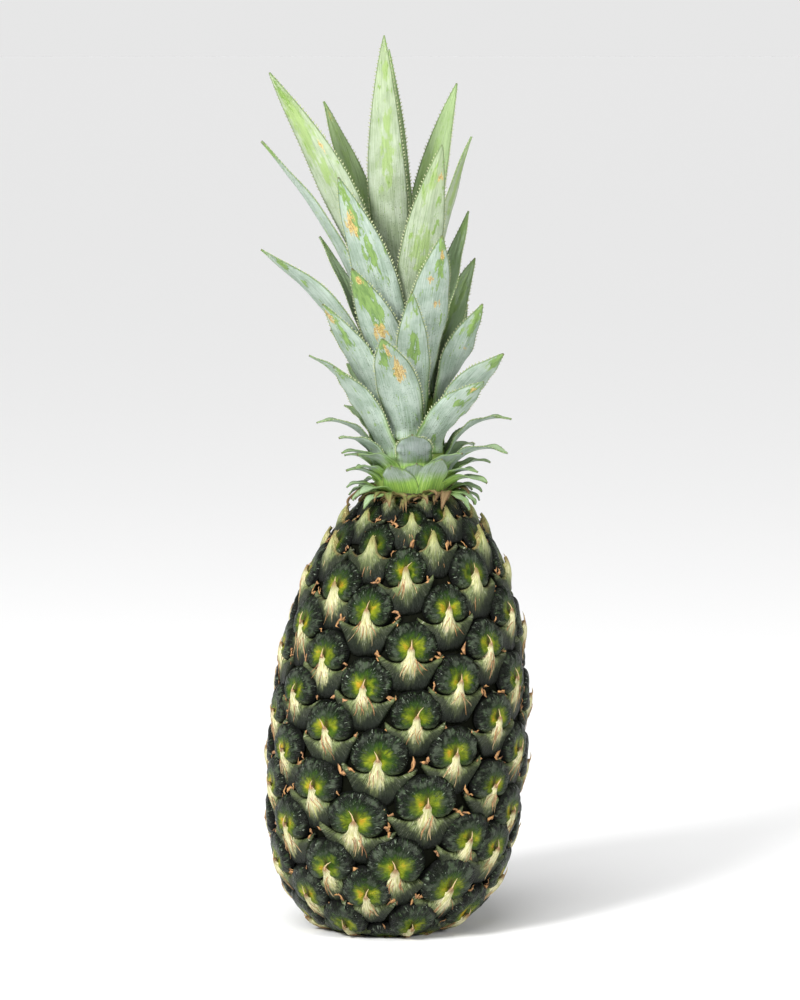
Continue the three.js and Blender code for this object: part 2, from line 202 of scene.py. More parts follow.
bpy.ops.mesh.primitive_cylinder_add(vertices=CORE_SIDES, radius=0.25, depth=1.0)
core = bpy.context.object
core.name = "fruit_core"
cut_into_rings(core, CORE_RINGS)
core_points = np.array([v.co for v in core.data.vertices])
share = np.clip(core_points[:, 2] + 0.5, 0, 1)
low = np.interp(CORE_FOOT_RADIUS, OUT_R[UNDERSIDE], OUT_S[UNDERSIDE])
high = OUT_S[-1] - 1.0
around = np.arctan2(core_points[:, 1], core_points[:, 0])
core_points = on_fruit(around, low + (high - low) * share, np.full(len(share), GROOVE_FLOOR))
core.data.vertices.foreach_set("co", core_points.ravel())
bpy.ops.object.shade_smooth()

# Near-black skin: the skin's own dark tone, with painted shade of the deep grooves.
groove_skin_and_shade = Finish("groove_skin_and_shade", Roughness=0.7, Specular_IOR_Level=0.05)
patches = groove_skin_and_shade.noise(groove_skin_and_shade.place(), 260.0, 4.0)
groove_skin_and_shade.lead(groove_skin_and_shade.blend(patches, (0.0008, 0.001, 0.0004), (0.005, 0.006, 0.002)), "Base Color")
groove_skin_and_shade.bump(patches, 0.0006)
core.data.materials.append(groove_skin_and_shade.material)
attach(core, "root")
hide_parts("fruit")

# The caps of the eyes: over each berry its three sepals have grown together into a broad waxy
# dome. They sit on one low spiral, eight steps to the eye up on the left and nine to the one up
# on the right. Each is grown into the core, and is near black with a green heart.
EYE_TURN = math.radians(42.19)
FIRST_EYE_ANGLE = math.radians(-84.0)
FIRST_EYE_HEIGHT = 101.5
LOWEST_EYE_RADIUS = 25.0
HIGHEST_EYE_RADIUS = 14.0
TRUE_RADIUS = 57.0
NEXT_EYES = [(22.4, 14.6), (19.6, 16.5)]
CAP_SIDES = 56
CAP_RIM = [(-90, 4.4), (-70, 5.5), (-58, 7.5), (-45, 9.5), (-32, 11.1), (-18, 12.1), (0, 12.6),
           (20, 12.8), (45, 12.3), (70, 11.6), (90, 11.4)]
CAP_RINGS = [(0.97, -2.4), (1.0, -0.6), (0.985, 0.6), (0.945, 1.6), (0.88, 2.4), (0.79, 2.95),
             (0.68, 3.25), (0.55, 3.3), (0.42, 3.1), (0.29, 2.75), (0.17, 2.45), (0.08, 2.3)]

bpy.ops.object.select_all(action="DESELECT")
bpy.ops.mesh.primitive_circle_add(vertices=CAP_SIDES, radius=1.0, fill_type="NGON")
cap = bpy.context.object
cap.name = "cap_pattern"
bpy.ops.object.mode_set(mode="EDIT")
bpy.ops.mesh.select_all(action="SELECT")
size, lift = 1.0, 0.0
for ring_size, ring_lift in CAP_RINGS[1:]:
    bpy.ops.mesh.extrude_region_move(TRANSFORM_OT_translate={"value": (0, 0, ring_lift - lift)})
    bpy.ops.transform.resize(value=(ring_size / size,) * 2 + (1.0,))
    size, lift = ring_size, ring_lift
bpy.ops.mesh.poke()
bpy.ops.mesh.select_all(action="SELECT")
bpy.ops.mesh.normals_make_consistent(inside=False)
bpy.ops.object.mode_set(mode="OBJECT")

rim_turns, rim_sizes = zip(*CAP_RIM)


def cap_shape(points):
    """Unit rings become the fan-shaped dome, with three shallow creases between the sepals."""
    way = np.degrees(np.arctan2(points[:, 1], points[:, 0]))
    folded = np.where(np.abs(way) > 90, np.sign(way) * 180 - way, way)
    rim = np.interp(folded, rim_turns, rim_sizes)
    reach = np.hypot(points[:, 0], points[:, 1])
    crease = np.exp(-((way - 92) / 4.5) ** 2) + 0.6 * np.exp(-((np.abs(way - 90) - 52) / 5.0) ** 2)
    crease = crease * np.clip(reach * 1.6 - 0.5, 0, 1)
    lobes = 1 - 0.045 * crease
    x = points[:, 0] * rim * lobes
    y = points[:, 1] * rim * lobes + 1.0
    return np.stack([x, y, points[:, 2] - 0.55 * crease * (points[:, 2] > 0)], -1)


def pattern_of(obj):
    """The points and faces of a pattern object, which is then removed."""
    points = np.array([v.co for v in obj.data.vertices])
    faces = [tuple(face.vertices) for face in obj.data.polygons]
    bpy.data.objects.remove(obj, do_unlink=True)
    return points, faces


# Extruding lists points and faces in an order that varies from run to run, so they are sorted.
cap_points, cap_faces = pattern_of(cap)
order = np.lexsort(np.round(cap_points, 4).T)
rank = np.argsort(order).tolist()
cap_faces = sorted((tuple(rank[v] for v in face) for face in cap_faces), key=sorted)
cap_points = cap_shape(cap_points[order])

# Front eyes that grew a little out of line: the eye's number, then degrees round and mm up.
OUT_OF_LINE = {
    -35: (-2, -3), -34: (-10, -4), -27: (-4, -1), -26: (-7, 2), -25: (5, -9), -24: (-9, -2),
    -18: (-6, 1), -17: (5, -7), -16: (-3, -3), -10: (-5, 0), -9: (5, -2), -8: (-3, -2),
    -7: (-4, -6), -1: (2, -4), 0: (1, 0), 1: (0, -5), 7: (3, -5), 8: (-1, -2), 9: (1, -2),
    10: (-4, -6), 16: (-2, -5), 17: (0, -2), 18: (-1, -4), 24: (0, -7), 25: (-1, -1), 26: (-1, -2),
    27: (1, -8), 33: (-1, -6), 34: (-2, 0), 35: (-1, -4), 42: (-4, -2), 43: (-4, -1),
}
random_eyes = np.random.default_rng(7)
EYES = []
first_spread = spread_of_height(FIRST_EYE_HEIGHT)
lowest_spread = float(np.interp(LOWEST_EYE_RADIUS, OUT_R[UNDERSIDE], OUT_S[UNDERSIDE]))
highest_spread = float(np.interp(-HIGHEST_EYE_RADIUS, -OUT_R[SHOULDER], OUT_S[SHOULDER]))
for number in range(-90, 90):
    spread = first_spread + number
    if not lowest_spread < spread < highest_spread:
        continue
    radius = float(np.interp(spread, OUT_S, OUT_R))
    height = float(np.interp(spread, OUT_S, OUT_Z))
    drawn = random_eyes.normal(0, 1, 2)
    degrees, raised = OUT_OF_LINE.get(number, (2.0 * drawn[0], 1.3 * drawn[1] - 1.5))
    depth = max(0.0, 100.0 - height)
    width = (radius / TRUE_RADIUS) ** -0.25 * (1 + 0.0022 * depth) * random_eyes.normal(1.0, 0.02)
    EYES.append({
        "angle": FIRST_EYE_ANGLE + EYE_TURN * number + math.radians(degrees),
        "spread": spread + raised / EYE_RISE,
        "radius": radius,
        "width": width,
        "tall": (1 + 0.0018 * depth) * random_eyes.normal(1.0, 0.02),
        "lift": min(1.0, radius / 40.0) * random_eyes.normal(1.0, 0.05),
        "twist": random_eyes.normal(0, 0.05),
        "seed": random_eyes.uniform(0, 50),
        "young": min(max((43 - radius) / 12, 0), 1) if height > 100 else 0.0,
    })

# An eye with more room round it than the even lattice gives has grown larger to fill it.
roots = np.array([on_fruit(eye["angle"], eye["spread"], 0.0) for eye in EYES]) / MM
for i, eye in enumerate(EYES):
    apart = np.sort(np.linalg.norm(roots - roots[i], axis=1))[1:5].mean()
    girth = eye["radius"] / TRUE_RADIUS
    even = sum(math.hypot(right * girth, up) for right, up in NEXT_EYES) / 2
    room = min(max(apart / even, 0.92), 1.16)
    eye["width"] *= room
    eye["tall"] *= room


def place_on_eye(points, eye):
    """Local millimetres of an eye (right, up, out) on the fruit, in metres."""
    c, s = math.cos(eye["twist"]), math.sin(eye["twist"])
    right = (points[:, 0] * c - points[:, 1] * s) * eye["width"]
    up = (points[:, 0] * s + points[:, 1] * c) * eye["tall"]
    angle, spread = eye["angle"] + right / TRUE_RADIUS, eye["spread"] + up / EYE_RISE
    return on_fruit(angle, spread, points[:, 2] * eye["lift"])


class Gathered:
    """Shapes that are joined in one mesh, with three values for each vertex under each name."""

    def __init__(self):
        self.points, self.faces, self.rows, self.count = [], [], {}, 0

    def add(self, points, faces, **rows):
        self.points.append(points)
        self.faces += [tuple(v + self.count for v in face) for face in faces]
        for name, row in rows.items():
            self.rows.setdefault(name, []).append(row)
        self.count += len(points)

    def join(self, other):
        rows = {name: np.concatenate(row) for name, row in other.rows.items()}
        self.add(np.concatenate(other.points), other.faces, **rows)

    def piece(self, name):
        mesh = bpy.data.meshes.new(name)
        mesh.from_pydata(np.concatenate(self.points).tolist(), [], self.faces)
        for key, rows in self.rows.items():
            layer = mesh.attributes.new(key, "FLOAT_VECTOR", "POINT")
            layer.data.foreach_set("vector", np.concatenate(rows).astype(np.float32).ravel())
        obj = bpy.data.objects.new(name, mesh)
        bpy.context.collection.objects.link(obj)
        mesh.shade_smooth()
        return obj


def copies_on_eyes(name, points, faces, vary, share_up):
    """One piece of a pattern copied to every eye, with each vertex's place in its eye kept."""
    copies = Gathered()
    for eye in EYES:
        shaped = vary(points.copy(), eye)
        place = np.column_stack([shaped[:, :2], np.full(len(points), eye["seed"])])
        more = np.column_stack([shaped[:, 2], np.full(len(points), eye["young"]), share_up])
        copies.add(place_on_eye(shaped, eye), faces, eye_place=place, eye_more=more)
    return copies.piece(name)


def vary_cap(points, eye):
    points[:, 2] *= 1 - 0.35 * eye["young"]
    way = np.arctan2(points[:, 1], points[:, 0])
    wave = np.sin(way * 5 + eye["seed"]) + 0.7 * np.sin(way * 9 - eye["seed"] * 2)
    points[:, :2] *= (1 + 0.014 * wave)[:, None]
    rim = np.clip(np.hypot(points[:, 0], points[:, 1] - 1) / 12 - 0.45, 0, 1) * 2
    points[:, 2] += 0.16 * np.sin(way * 14 + eye["seed"] * 3) * rim * (points[:, 2] > 0)
    return points


caps = copies_on_eyes("eye_caps", cap_points, cap_faces, vary_cap, np.zeros(len(cap_points)))

NEAR_BLACK = (0.001, 0.0015, 0.0008)
wax = Finish("waxy_cap", Roughness=0.3, Specular_IOR_Level=0.13)
right, up, seed = wax.attribute("eye_place")
above, young, _ = wax.attribute("eye_more")
reach = (right * right + up * up) ** 0.5
way = up.math("ARCTAN2", right)
rays = wax.noise((way * 3.2, reach * 0.22, seed), 1.6, 3.0)
fine_rays = wax.noise((way * 11.0, reach * 0.26, seed), 1.6, 2.0, 0.6)
cloud = wax.noise((right, up, seed), 0.28, 3.0)
mottle = wax.noise(wax.place(), 900.0, 3.0)
mid = wax.between(reach + (rays - 0.5) * 7.0 + (cloud - 0.5) * 5.0, 9.5, 3.5)
side = right.math("ABSOLUTE")
from_lobe = ((side - 2.7) ** 2.0 + (up - 0.6) * (up - 0.6) * 0.9) ** 0.5
lobe_reach = from_lobe + (rays - 0.5) * 3.5 + (cloud - 0.5) * 4.0 + (mottle - 0.5) * 0.8
heart = wax.between(reach + (rays - 0.5) * 5.0 + (cloud - 0.5) * 5.0, 7.6, 1.5)
grown = 1.0 - young * 0.8
warmth = wax.noise((right * 0.2, up * 0.2, seed * 1.7), 1.0, 1.0)
yellow = wax.between(lobe_reach, 4.8, 0.0) * wax.between(warmth, 0.28, 0.55)
orange = wax.between(lobe_reach, 2.3, 0.0) * wax.between(warmth, 0.47, 0.66)
brown_top = wax.between(side + (rays - 0.5) * 2.0, 1.8, 0.2) * wax.between(reach, 6.0, 2.0)
rim_zone = wax.between(reach, 5.0, 8.5) * wax.between(above, 0.2, 1.4)
# Pale radial wax flecks near the rim, which also serve as painted highlight glints.
flecks_and_glints = wax.between(fine_rays + (mottle - 0.5) * 0.35, 0.64, 0.72) * rim_zone
# Painted highlight: a soft pale sheen on the upper part of each cap's dome.
painted_sheen = wax.between(cloud + (rays - 0.5) * 0.8, 0.45, 0.75) * wax.between(reach, 4.0, 7.0)
painted_sheen = painted_sheen * wax.between(above, 1.8, 2.8)
ribs = wax.between(rays + (fine_rays - 0.5) * 0.8, 0.56, 0.72) * wax.between(reach, 4.0, 7.0)
dots = wax.between(mottle, 0.77, 0.82) * wax.between(reach, 3.0, 6.0)
lip = wax.between(up, -3.2, -4.6) * wax.between(above, 0.0, 1.0)
# Painted shade: the low sides of each dome, where it sinks into the groove, go near black.
sunk_rim_shade = wax.between(above + (fine_rays - 0.5) * 1.2, 2.1, 0.7)
green = wax.layers(
    wax.blend(cloud, NEAR_BLACK, (0.005, 0.008, 0.003)),
    (mid * 0.85, (0.014, 0.042, 0.006)),
    (heart * grown * 0.75, (0.07, 0.15, 0.008)),
    (yellow * grown * 0.8, (0.34, 0.38, 0.02)),
    (orange * grown * 0.75, (0.66, 0.34, 0.03)),
    (brown_top * 0.7, (0.07, 0.045, 0.012)),
    (flecks_and_glints * 0.7, (0.30, 0.35, 0.27)),
    (painted_sheen * 0.7, (0.075, 0.095, 0.062)),
    (ribs * 0.45, (0.030, 0.062, 0.018)),
    (dots * 0.55, (0.4, 0.45, 0.38)),
    (lip * 0.35, (0.09, 0.12, 0.05)),
    (sunk_rim_shade, NEAR_BLACK),
)
wax.lead(green, "Base Color")
wax.lead(0.16 + 0.3 * rays + 0.4 * sunk_rim_shade, "Roughness")
wax.bump(fine_rays * 0.9 + rays * 1.1 + mottle * 0.1, 0.0016, 0.9)
caps.data.materials.append(wax.material)
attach(caps, "root")
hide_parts("fruit")

# The bracts: under each cap a tough scale with a pale swollen boss in the middle, two wings that
# reach to the neighbours, and a fan that runs down between the two eyes below. They are grown
# to the core, and cream at the boss, grey-green on the wings and near black at the foot.
WING_TIP = 14.4
ACROSS = [0.0, 0.8, 1.6, 2.4, 3.3, 4.2, 5.3, 6.6, 7.6, 8.5, 9.5, 10.6, 12.0, 13.4, WING_TIP]
BRACT_TOP = ([0, 0.8, 1.6, 2.3, 3.0, 3.8, 5.2, 8.0, 11.0, 13.2, WING_TIP],
             [1.0, 0.5, -0.9, -2.6, -4.3, -5.2, -5.7, -5.7, -4.6, -3.0, -1.9])
BRACT_FOOT = ([0, 3, 5, 6.6, 7.6, 8.5, 9.5, 10.6, 12.0, 13.4, WING_TIP],
              [-18.8, -18.8, -18.6, -18.0, -16.9, -15.2, -13.0, -10.8, -8.4, -6.3, -4.8])
BOSS_LIFT = ([-18, -15, -11.5, -8, -5.5, -3.5, -1.5, 1.0], [0.0, 0.8, 1.8, 2.9, 3.9, 4.4, 4.6, 4.4])
WING_LIFT = ([-18, -15, -11, -7, -5, -3], [-0.2, 0.5, 1.3, 2.1, 2.2, 1.8])
BRACT_ROWS = 12
BRACT_WALL = 1.5
BOSS_HALF_WIDTH = 2.3


def lift_of(x, y):
    """How high a bract stands off the fruit at a place in an eye."""
    ridge = np.exp(-(x / (BOSS_HALF_WIDTH + 0.10 * np.clip(-y - 4, 0, 12))) ** 2)
    return np.interp(y, *WING_LIFT) * (1 - ridge) + np.interp(y, *BOSS_LIFT) * ridge


half_columns = len(ACROSS) - 1
bpy.ops.mesh.primitive_grid_add(x_subdivisions=2 * half_columns, y_subdivisions=BRACT_ROWS, size=2.0)
bract = bpy.context.object
grid = np.array([v.co for v in bract.data.vertices])
column = np.rint((grid[:, 0] + 1) * half_columns).astype(int) - half_columns
x = np.sign(column) * np.array(ACROSS)[np.abs(column)]
share = (grid[:, 1] + 1) / 2
share = 0.5 - 0.5 * np.cos(math.pi * share)
top, foot = np.interp(np.abs(x), *BRACT_TOP), np.interp(np.abs(x), *BRACT_FOOT)
y = foot + (top - foot) * share
furrows = np.cos(x * 2.6) * np.clip((-y - 3) / 4, 0, 1) * np.clip(1 - np.abs(x) / 9, 0, 1)
lift = lift_of(x, y) + 0.22 * furrows
sink_top = np.clip((top - y) / 1.3, 0, 1) ** 0.5
sink_top = np.where(np.abs(x) < 2.0, 1.0, sink_top)
sink_foot = np.clip((y - foot) / 1.6, 0, 1) ** 0.5
sink_side = np.clip((WING_TIP - np.abs(x)) / 1.2, 0.3, 1) ** 0.5
lift = -BRACT_WALL + (lift + BRACT_WALL) * np.minimum(np.minimum(sink_top, sink_foot), sink_side)
spread_x = x * (1.04 + 0.10 * (np.abs(x) / WING_TIP) ** 4)
bract.data.vertices.foreach_set("co", np.stack([spread_x, y, lift], -1).ravel())
shell = bract.modifiers.new("thickness", "SOLIDIFY")
shell.thickness = BRACT_WALL
shell.offset = -1.0
bpy.ops.object.modifier_apply(modifier="thickness")
bract_points, bract_faces = pattern_of(bract)
bract_share = np.concatenate([share, share])


def vary_bract(points, eye):
    way = math.sin(eye["seed"] * 3.1)
    up = points[:, 1]
    points[:, 0] += 0.5 * way * np.clip((-up - 6) / 8, 0, 1)
    points[:, 2] *= 1 + 0.08 * math.sin(eye["seed"] * 5.3)
    slim = 1 - 0.12 * (0.5 + 0.5 * math.sin(eye["seed"] * 1.9)) * np.exp(-((up + 3) / 4) ** 2)
    points[:, 0] *= slim
    young = eye["young"]
    points[:, 0] *= 1 + 0.2 * young
    raised = np.clip(bract_share * 2 - 1, 0, 1)
    peak = np.clip(1 - np.abs(points[:, 0]) / 10.5, 0, 1) * raised
    points[:, 1] += young * (2.4 + 0.9 * way) * peak
    near_middle = np.clip(1.7 - np.abs(points[:, 0]) / 6.5, 0, 1)
    points[:, 2] += young * 2.0 * np.clip(bract_share * 3 - 1, 0, 1) * near_middle
    return points


bracts = copies_on_eyes("eye_bracts", bract_points, bract_faces, vary_bract, bract_share)

husk = Finish("bract_skin", Roughness=0.5, Specular_IOR_Level=0.2)
right, up, seed = husk.attribute("eye_place")
above, young, share_up = husk.attribute("eye_more")
down = up * -1.0
side = right.math("ABSOLUTE")
fan = right.math("ARCTAN2", down + 1.5)
spread_out = (right * right * 0.55 + (down + 1.5) * (down + 1.5)) ** 0.5
streaks = husk.noise((fan * 6.0, spread_out * 0.12, seed), 1.7, 3.0, 0.6)
thin_streaks = husk.noise((fan * 19.0, spread_out * 0.16, seed), 1.6, 2.0, 0.6)
grit = husk.noise(husk.place(), 1100.0, 3.0)
cloud = husk.noise((right, up, seed), 0.3, 2.0)
mixed = (streaks - 0.5) * 1.4 + (thin_streaks - 0.5) * 1.1
wing = husk.between(share_up + mixed * 0.8, 0.52, 1.0) * husk.between(side, 15.0, 8.0)
sage = husk.between(spread_out + mixed * 9.0, 16.0, 6.5)
light = husk.between(spread_out + mixed * 7.0 + side * 0.5, 11.0, 5.5)
one = husk.noise((seed * 2.3, seed, 0.0), 1.0, 0.0)
boss = husk.between(side + mixed * 3.2 + down * 0.02 + (one - 0.5) * 2.0, 4.6, 2.2)
boss_end = down + (streaks - 0.5) * 9.0 + (thin_streaks - 0.5) * 7.0 + (one - 0.5) * 7.0
boss = boss * husk.between(boss_end, 12.0, 5.0)
boss = boss * (1.0 - young * husk.between(down + mixed * 3.0, -0.5, 4.5) * 0.8)
threads = husk.between(thin_streaks, 0.35, 0.65)
cream = husk.blend(threads, (0.46, 0.46, 0.17), (0.90, 0.83, 0.55))
cream = husk.blend(husk.between(cloud, 0.55, 0.72) * 0.6, cream, (0.74, 0.52, 0.36))
tip_tan = husk.between(down, 2.0, -0.4) * husk.between(side, 2.0, 0.6)
white = husk.between(thin_streaks + (grit - 0.5) * 0.2, 0.60, 0.68)
dark_line = husk.between(thin_streaks + (grit - 0.5) * 0.25, 0.45, 0.38)
beside_fan = husk.between(side + down * 0.75 + mixed * 3.5, 11.0, 13.5)
foot_dark = husk.between(down + (streaks - 0.5) * 6.0 + side * 0.35, 14.0, 17.5)
fresh = young * husk.between(down + mixed * 5.0 + side * 0.25, 6.5, 1.5)
new_green = husk.blend(threads, (0.19, 0.24, 0.05), (0.66, 0.64, 0.24))
dry_edge = young * husk.between(share_up + (grit - 0.5) * 0.3, 0.86, 0.97)
skin = husk.layers(
    husk.blend(streaks, (0.003, 0.005, 0.002), (0.060, 0.074, 0.032)),
    (wing * 0.8, (0.155, 0.185, 0.08)),
    (sage * 0.75, (0.20, 0.25, 0.09)),
    (light * 0.8, (0.42, 0.47, 0.22)),
    (boss, cream),
    (tip_tan * 0.85, (0.36, 0.17, 0.07)),
    (white * husk.between(down, 17.0, 9.0) * 0.65, (0.47, 0.49, 0.35)),
    (dark_line * husk.between(side, 1.2, 3.0) * 0.8, (0.006, 0.010, 0.003)),
    (beside_fan * husk.between(down, 4.5, 7.0) * 0.8, (0.006, 0.010, 0.005)),
    (foot_dark * 0.92, (0.005, 0.008, 0.004)),
    (fresh * 0.85, new_green),
    (dry_edge * husk.between(side, 0.6, 2.5) * 0.7, (0.22, 0.13, 0.05)),
    # Painted shade: the sunk edges and underside of the bract, low on the fruit, go near black.
    (husk.between(above, 0.9, -0.4), (0.002, 0.003, 0.001)),
)
husk.lead(skin, "Base Color")
husk.lead(0.36 + 0.22 * boss + 0.2 * streaks, "Roughness")
husk.bump(thin_streaks * 0.9 + streaks * 0.7 + grit * 0.25, 0.0012, 0.9)
bracts.data.materials.append(husk.material)
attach(bracts, "root")
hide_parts("fruit")

# The dry parts of the bracts: a pinkish thorn at the tip of each boss, thin fibres that have
# split off and lie down the fan, and curled scraps where three eyes meet. They are papery, tan
# to orange, and grow out of the bracts.
def strip(points, widths, thickness):
    """A closed thin strip of four sides along some points, in local millimetres."""
    points = np.array(points, float)
    run = np.gradient(points, axis=0)
    run /= np.linalg.norm(run, axis=1, keepdims=True)
    outwards = np.array([0.0, 0.0, 1.0])
    sideways = np.cross(run, outwards)
    sideways /= np.linalg.norm(sideways, axis=1, keepdims=True) + 1e-9
    normal = np.cross(sideways, run)
    rings = []
    for point, side, out, width in zip(points, sideways, normal, widths):
        half, thick = side * width / 2, out * min(thickness, width) / 2
        rings += [point - half, point - thick, point + half, point + thick]
    faces = [(0, 1, 2, 3)]
    for k in range(len(points) - 1):
        for j in range(4):
            a, b = 4 * k + j, 4 * k + (j + 1) % 4
            faces.append((a, a + 4, b + 4, b))
    last = 4 * (len(points) - 1)
    faces.append((last + 3, last + 2, last + 1, last))
    return np.array(rings), faces


random_dry = np.random.default_rng(21)
dry_strips = Gathered()


def add_strip(eye, points, widths, thickness, tone):
    local, faces = strip(points, widths, thickness)
    length = np.repeat(np.linspace(0, 1, len(points)), 4)
    dry = np.column_stack([length, np.full(len(local), tone), np.full(len(local), eye["seed"])])
    dry_strips.add(place_on_eye(local, {**eye, "twist": 0.0}), faces, dry=dry)


for eye in EYES:
    lean = random_dry.normal(0.0, 1.1)
    reach = random_dry.uniform(2.6, 4.4)
    rise_out = random_dry.uniform(-0.6, 1.3)
    path = [(0.0, -1.0, 3.8), (0.0, 0.2, 4.3), (lean * 0.1, 1.1, 4.2 + rise_out * 0.4),
            (lean * 0.5, 0.3 + reach * 0.6, 4.0 + rise_out * 0.8),
            (lean * 1.3, 0.3 + reach, 3.6 + rise_out)]
    add_strip(eye, path, [1.9, 1.3, 0.75, 0.45, 0.12], 0.6, random_dry.uniform(0.0, 0.35))
    for _ in range(random_dry.integers(3, 8)):
        start = random_dry.uniform(-2.8, 2.8)
        slope = start * 0.9 + random_dry.normal(0, 2.0)
        top = -random_dry.uniform(3.0, 7.5)
        length = random_dry.uniform(3.5, 9.5)
        path = []
        for k in range(6):
            t = k / 5
            x = start + slope * t + 0.5 * math.sin(4 * t + eye["seed"])
            y = top - length * t
            path.append((x, y, lift_of(x, max(y, -15)) + 0.22 + 0.5 * t * random_dry.uniform(0, 1)))
        width = random_dry.uniform(0.22, 0.55)
        widths = [width * 0.6, width, width, width, width * 0.7, 0.12]
        add_strip(eye, path, widths, 0.3, random_dry.uniform(0, 0.8))
    for side in (-1, 1):
        x0, y0 = side * random_dry.uniform(12.6, 14.6), random_dry.uniform(-5.0, -2.8)
        for _ in range(random_dry.integers(1, 5)):
            heading = random_dry.uniform(0, 2 * math.pi)
            x, y = x0 + random_dry.normal(0, 0.5), y0 + random_dry.normal(0, 0.5)
            size = random_dry.uniform(0.6, 1.6)
            path, widths = [(x, y, 0.7)], [0.9 * size]
            for _ in range(random_dry.integers(2, 5)):
                heading += random_dry.normal(0, 0.7)
                step = random_dry.uniform(0.8, 1.7) * size
                x, y = x + math.cos(heading) * step, y + math.sin(heading) * step
                path.append((x, y, 0.6 + random_dry.uniform(0.1, 1.5)))
                widths.append(random_dry.uniform(0.45, 1.5) * size)
            widths[-1] = 0.12
            add_strip(eye, path, widths, 0.22, random_dry.uniform(0.5, 1))

dry_bits = dry_strips.piece("dry_points_and_fibres")

papery = Finish("papery_dry", Roughness=0.7)
length, tone, seed = papery.attribute("dry")
grain = papery.noise(papery.place(), 700.0, 3.0)
tan = papery.blend(papery.between(tone, 0.3, 0.9), (0.43, 0.22, 0.10), (0.46, 0.24, 0.08))
tan = papery.blend(papery.between(grain, 0.6, 0.42) * 0.7, tan, (0.15, 0.07, 0.03))
tan = papery.blend(papery.between(tone + grain * 0.4, 0.62, 0.48) * length, tan, (0.54, 0.42, 0.22))
papery.lead(tan, "Base Color")
papery.bump(grain, 0.0003)
dry_bits.data.materials.append(papery.material)
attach(dry_bits, "root")
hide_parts("fruit")

# The crown's stem and the short leaves at its foot. The stem is a solid green core hidden in the
# crown, and the lowest leaves grow round it in a close ring. They are broad and blunt in front,
# thin and curled down over the fruit outside, with yellow-green bases.
CROWN_HEIGHT = 189.5
CROWN_OFFSET = 11.5
CROWN_LEAN = -0.06
STEM_HEIGHT = 80.0
STEM_FOOT_RADIUS = 17.0
STEM_TOP_RADIUS = 4.0
STEM_RINGS = 16
CHANNEL_RADIUS = 17.0
LEAF_TAPER = 0.7
BLADE_STATIONS = 44
BLADE_COLUMNS = 14


def stem_radius(height):
    share = min(max(height / STEM_HEIGHT, 0), 1)
    return STEM_FOOT_RADIUS + (STEM_TOP_RADIUS - STEM_FOOT_RADIUS) * share**1.4


def level(degrees):
    return np.array([math.cos(math.radians(degrees)), math.sin(math.radians(degrees)), 0.0])


def on_crown(radius, degrees, height):
    foot = np.array([CROWN_OFFSET + CROWN_LEAN * height, 0.0, CROWN_HEIGHT + height])
    return foot + radius * level(degrees)


bpy.ops.object.select_all(action="DESELECT")
bpy.ops.mesh.primitive_cylinder_add(vertices=40, radius=1.0, depth=1.0)
stem = bpy.context.object
stem.name = "crown_stem_core"
cut_into_rings(stem, STEM_RINGS)
for vertex in stem.data.vertices:
    height = (vertex.co.z + 0.5) * STEM_HEIGHT
    degrees = math.degrees(math.atan2(vertex.co.y, vertex.co.x))
    ripple = 1 - 0.04 * math.cos(height * 1.6)
    reach = stem_radius(height) * math.hypot(vertex.co.x, vertex.co.y) * ripple
    vertex.co = Vector(on_crown(reach, degrees, height) * MM)
bpy.ops.object.shade_smooth()


def blade_pattern(columns, stations):
    bpy.ops.object.select_all(action="DESELECT")
    bpy.ops.mesh.primitive_grid_add(x_subdivisions=columns, y_subdivisions=stations, size=2.0)
    blade = bpy.context.object
    wall = blade.modifiers.new("wall", "SOLIDIFY")
    wall.thickness = 1.0
    wall.offset = 1.0
    bpy.ops.object.modifier_apply(modifier="wall")
    points, faces = pattern_of(blade)
    points[:, 2] -= points[:, 2].min()
    return points, [tuple(reversed(face)) for face in faces]


LARGE_BLADE = blade_pattern(BLADE_COLUMNS, BLADE_STATIONS)
DRY_BLADE = blade_pattern(4, 20)
ROOT_IN_STEM = 7.0
FOOT_SINK = 2.5
LEAF_WRAP = math.radians(50)
BLADE_END = 0.992
STATION_CROWDING = 1.35
TOOTH_SPACING = 2.5
FIRST_TOOTH, LAST_TOOTH = 0.12, 0.975

bpy.ops.mesh.primitive_cone_add(vertices=4, radius1=1.0, radius2=0.0, depth=1.0, location=(0, 0, 0.5))
tooth_points, tooth_faces = pattern_of(bpy.context.object)
tooth_points[:, 2] += 0.5


def smooth(value):
    value = np.clip(value, 0.0, 1.0)
    return value * value * (3 - 2 * value)


def rows_cross(first, second):
    made = np.cross(first, second)
    return made / np.linalg.norm(made, axis=-1, keepdims=True)


def leaf_curve(leaf, foot, depth, share):
    """Points and directions of a leaf's midline, which is one arch from the stem to the tip."""
    start = on_crown(stem_radius(foot) - depth, leaf["angle"], foot)
    tip = np.array([CROWN_OFFSET, 0.0, CROWN_HEIGHT]) + leaf["tip"]
    chord = tip - start
    reach = math.hypot(chord[0], chord[1])
    lean = math.atan2(reach, chord[2])
    bend = math.radians(leaf["bend"])
    start_lean, end_lean = max(math.radians(3), lean - bend), lean + bend * 1.15
    hold = np.linalg.norm(chord) * 0.38
    up = np.array([0.0, 0.0, 1.0])
    first = start + hold * (math.sin(start_lean) * level(leaf["angle"]) + math.cos(start_lean) * up)
    heading = np.array([chord[0], chord[1], 0.0]) / reach
    last = tip - hold * (math.sin(end_lean) * heading + math.cos(end_lean) * up)
    t, u = share[:, None], 1 - share[:, None]
    at = start * u**3 + first * 3 * u * u * t + last * 3 * u * t * t + tip * t**3
    along = (first - start) * u * u + (last - first) * 2 * u * t + (tip - last) * t * t
    along /= np.linalg.norm(along, axis=1, keepdims=True)
    down_stem = up - 0.12 * level(leaf["angle"])
    below = share < 0
    at[below] = start + share[below, None] * np.linalg.norm(chord) * down_stem
    along[below] = down_stem / np.linalg.norm(down_stem)
    at[:, 0] += leaf.get("bow", 0.0) * 4 * share * (1 - share)
    return at, along


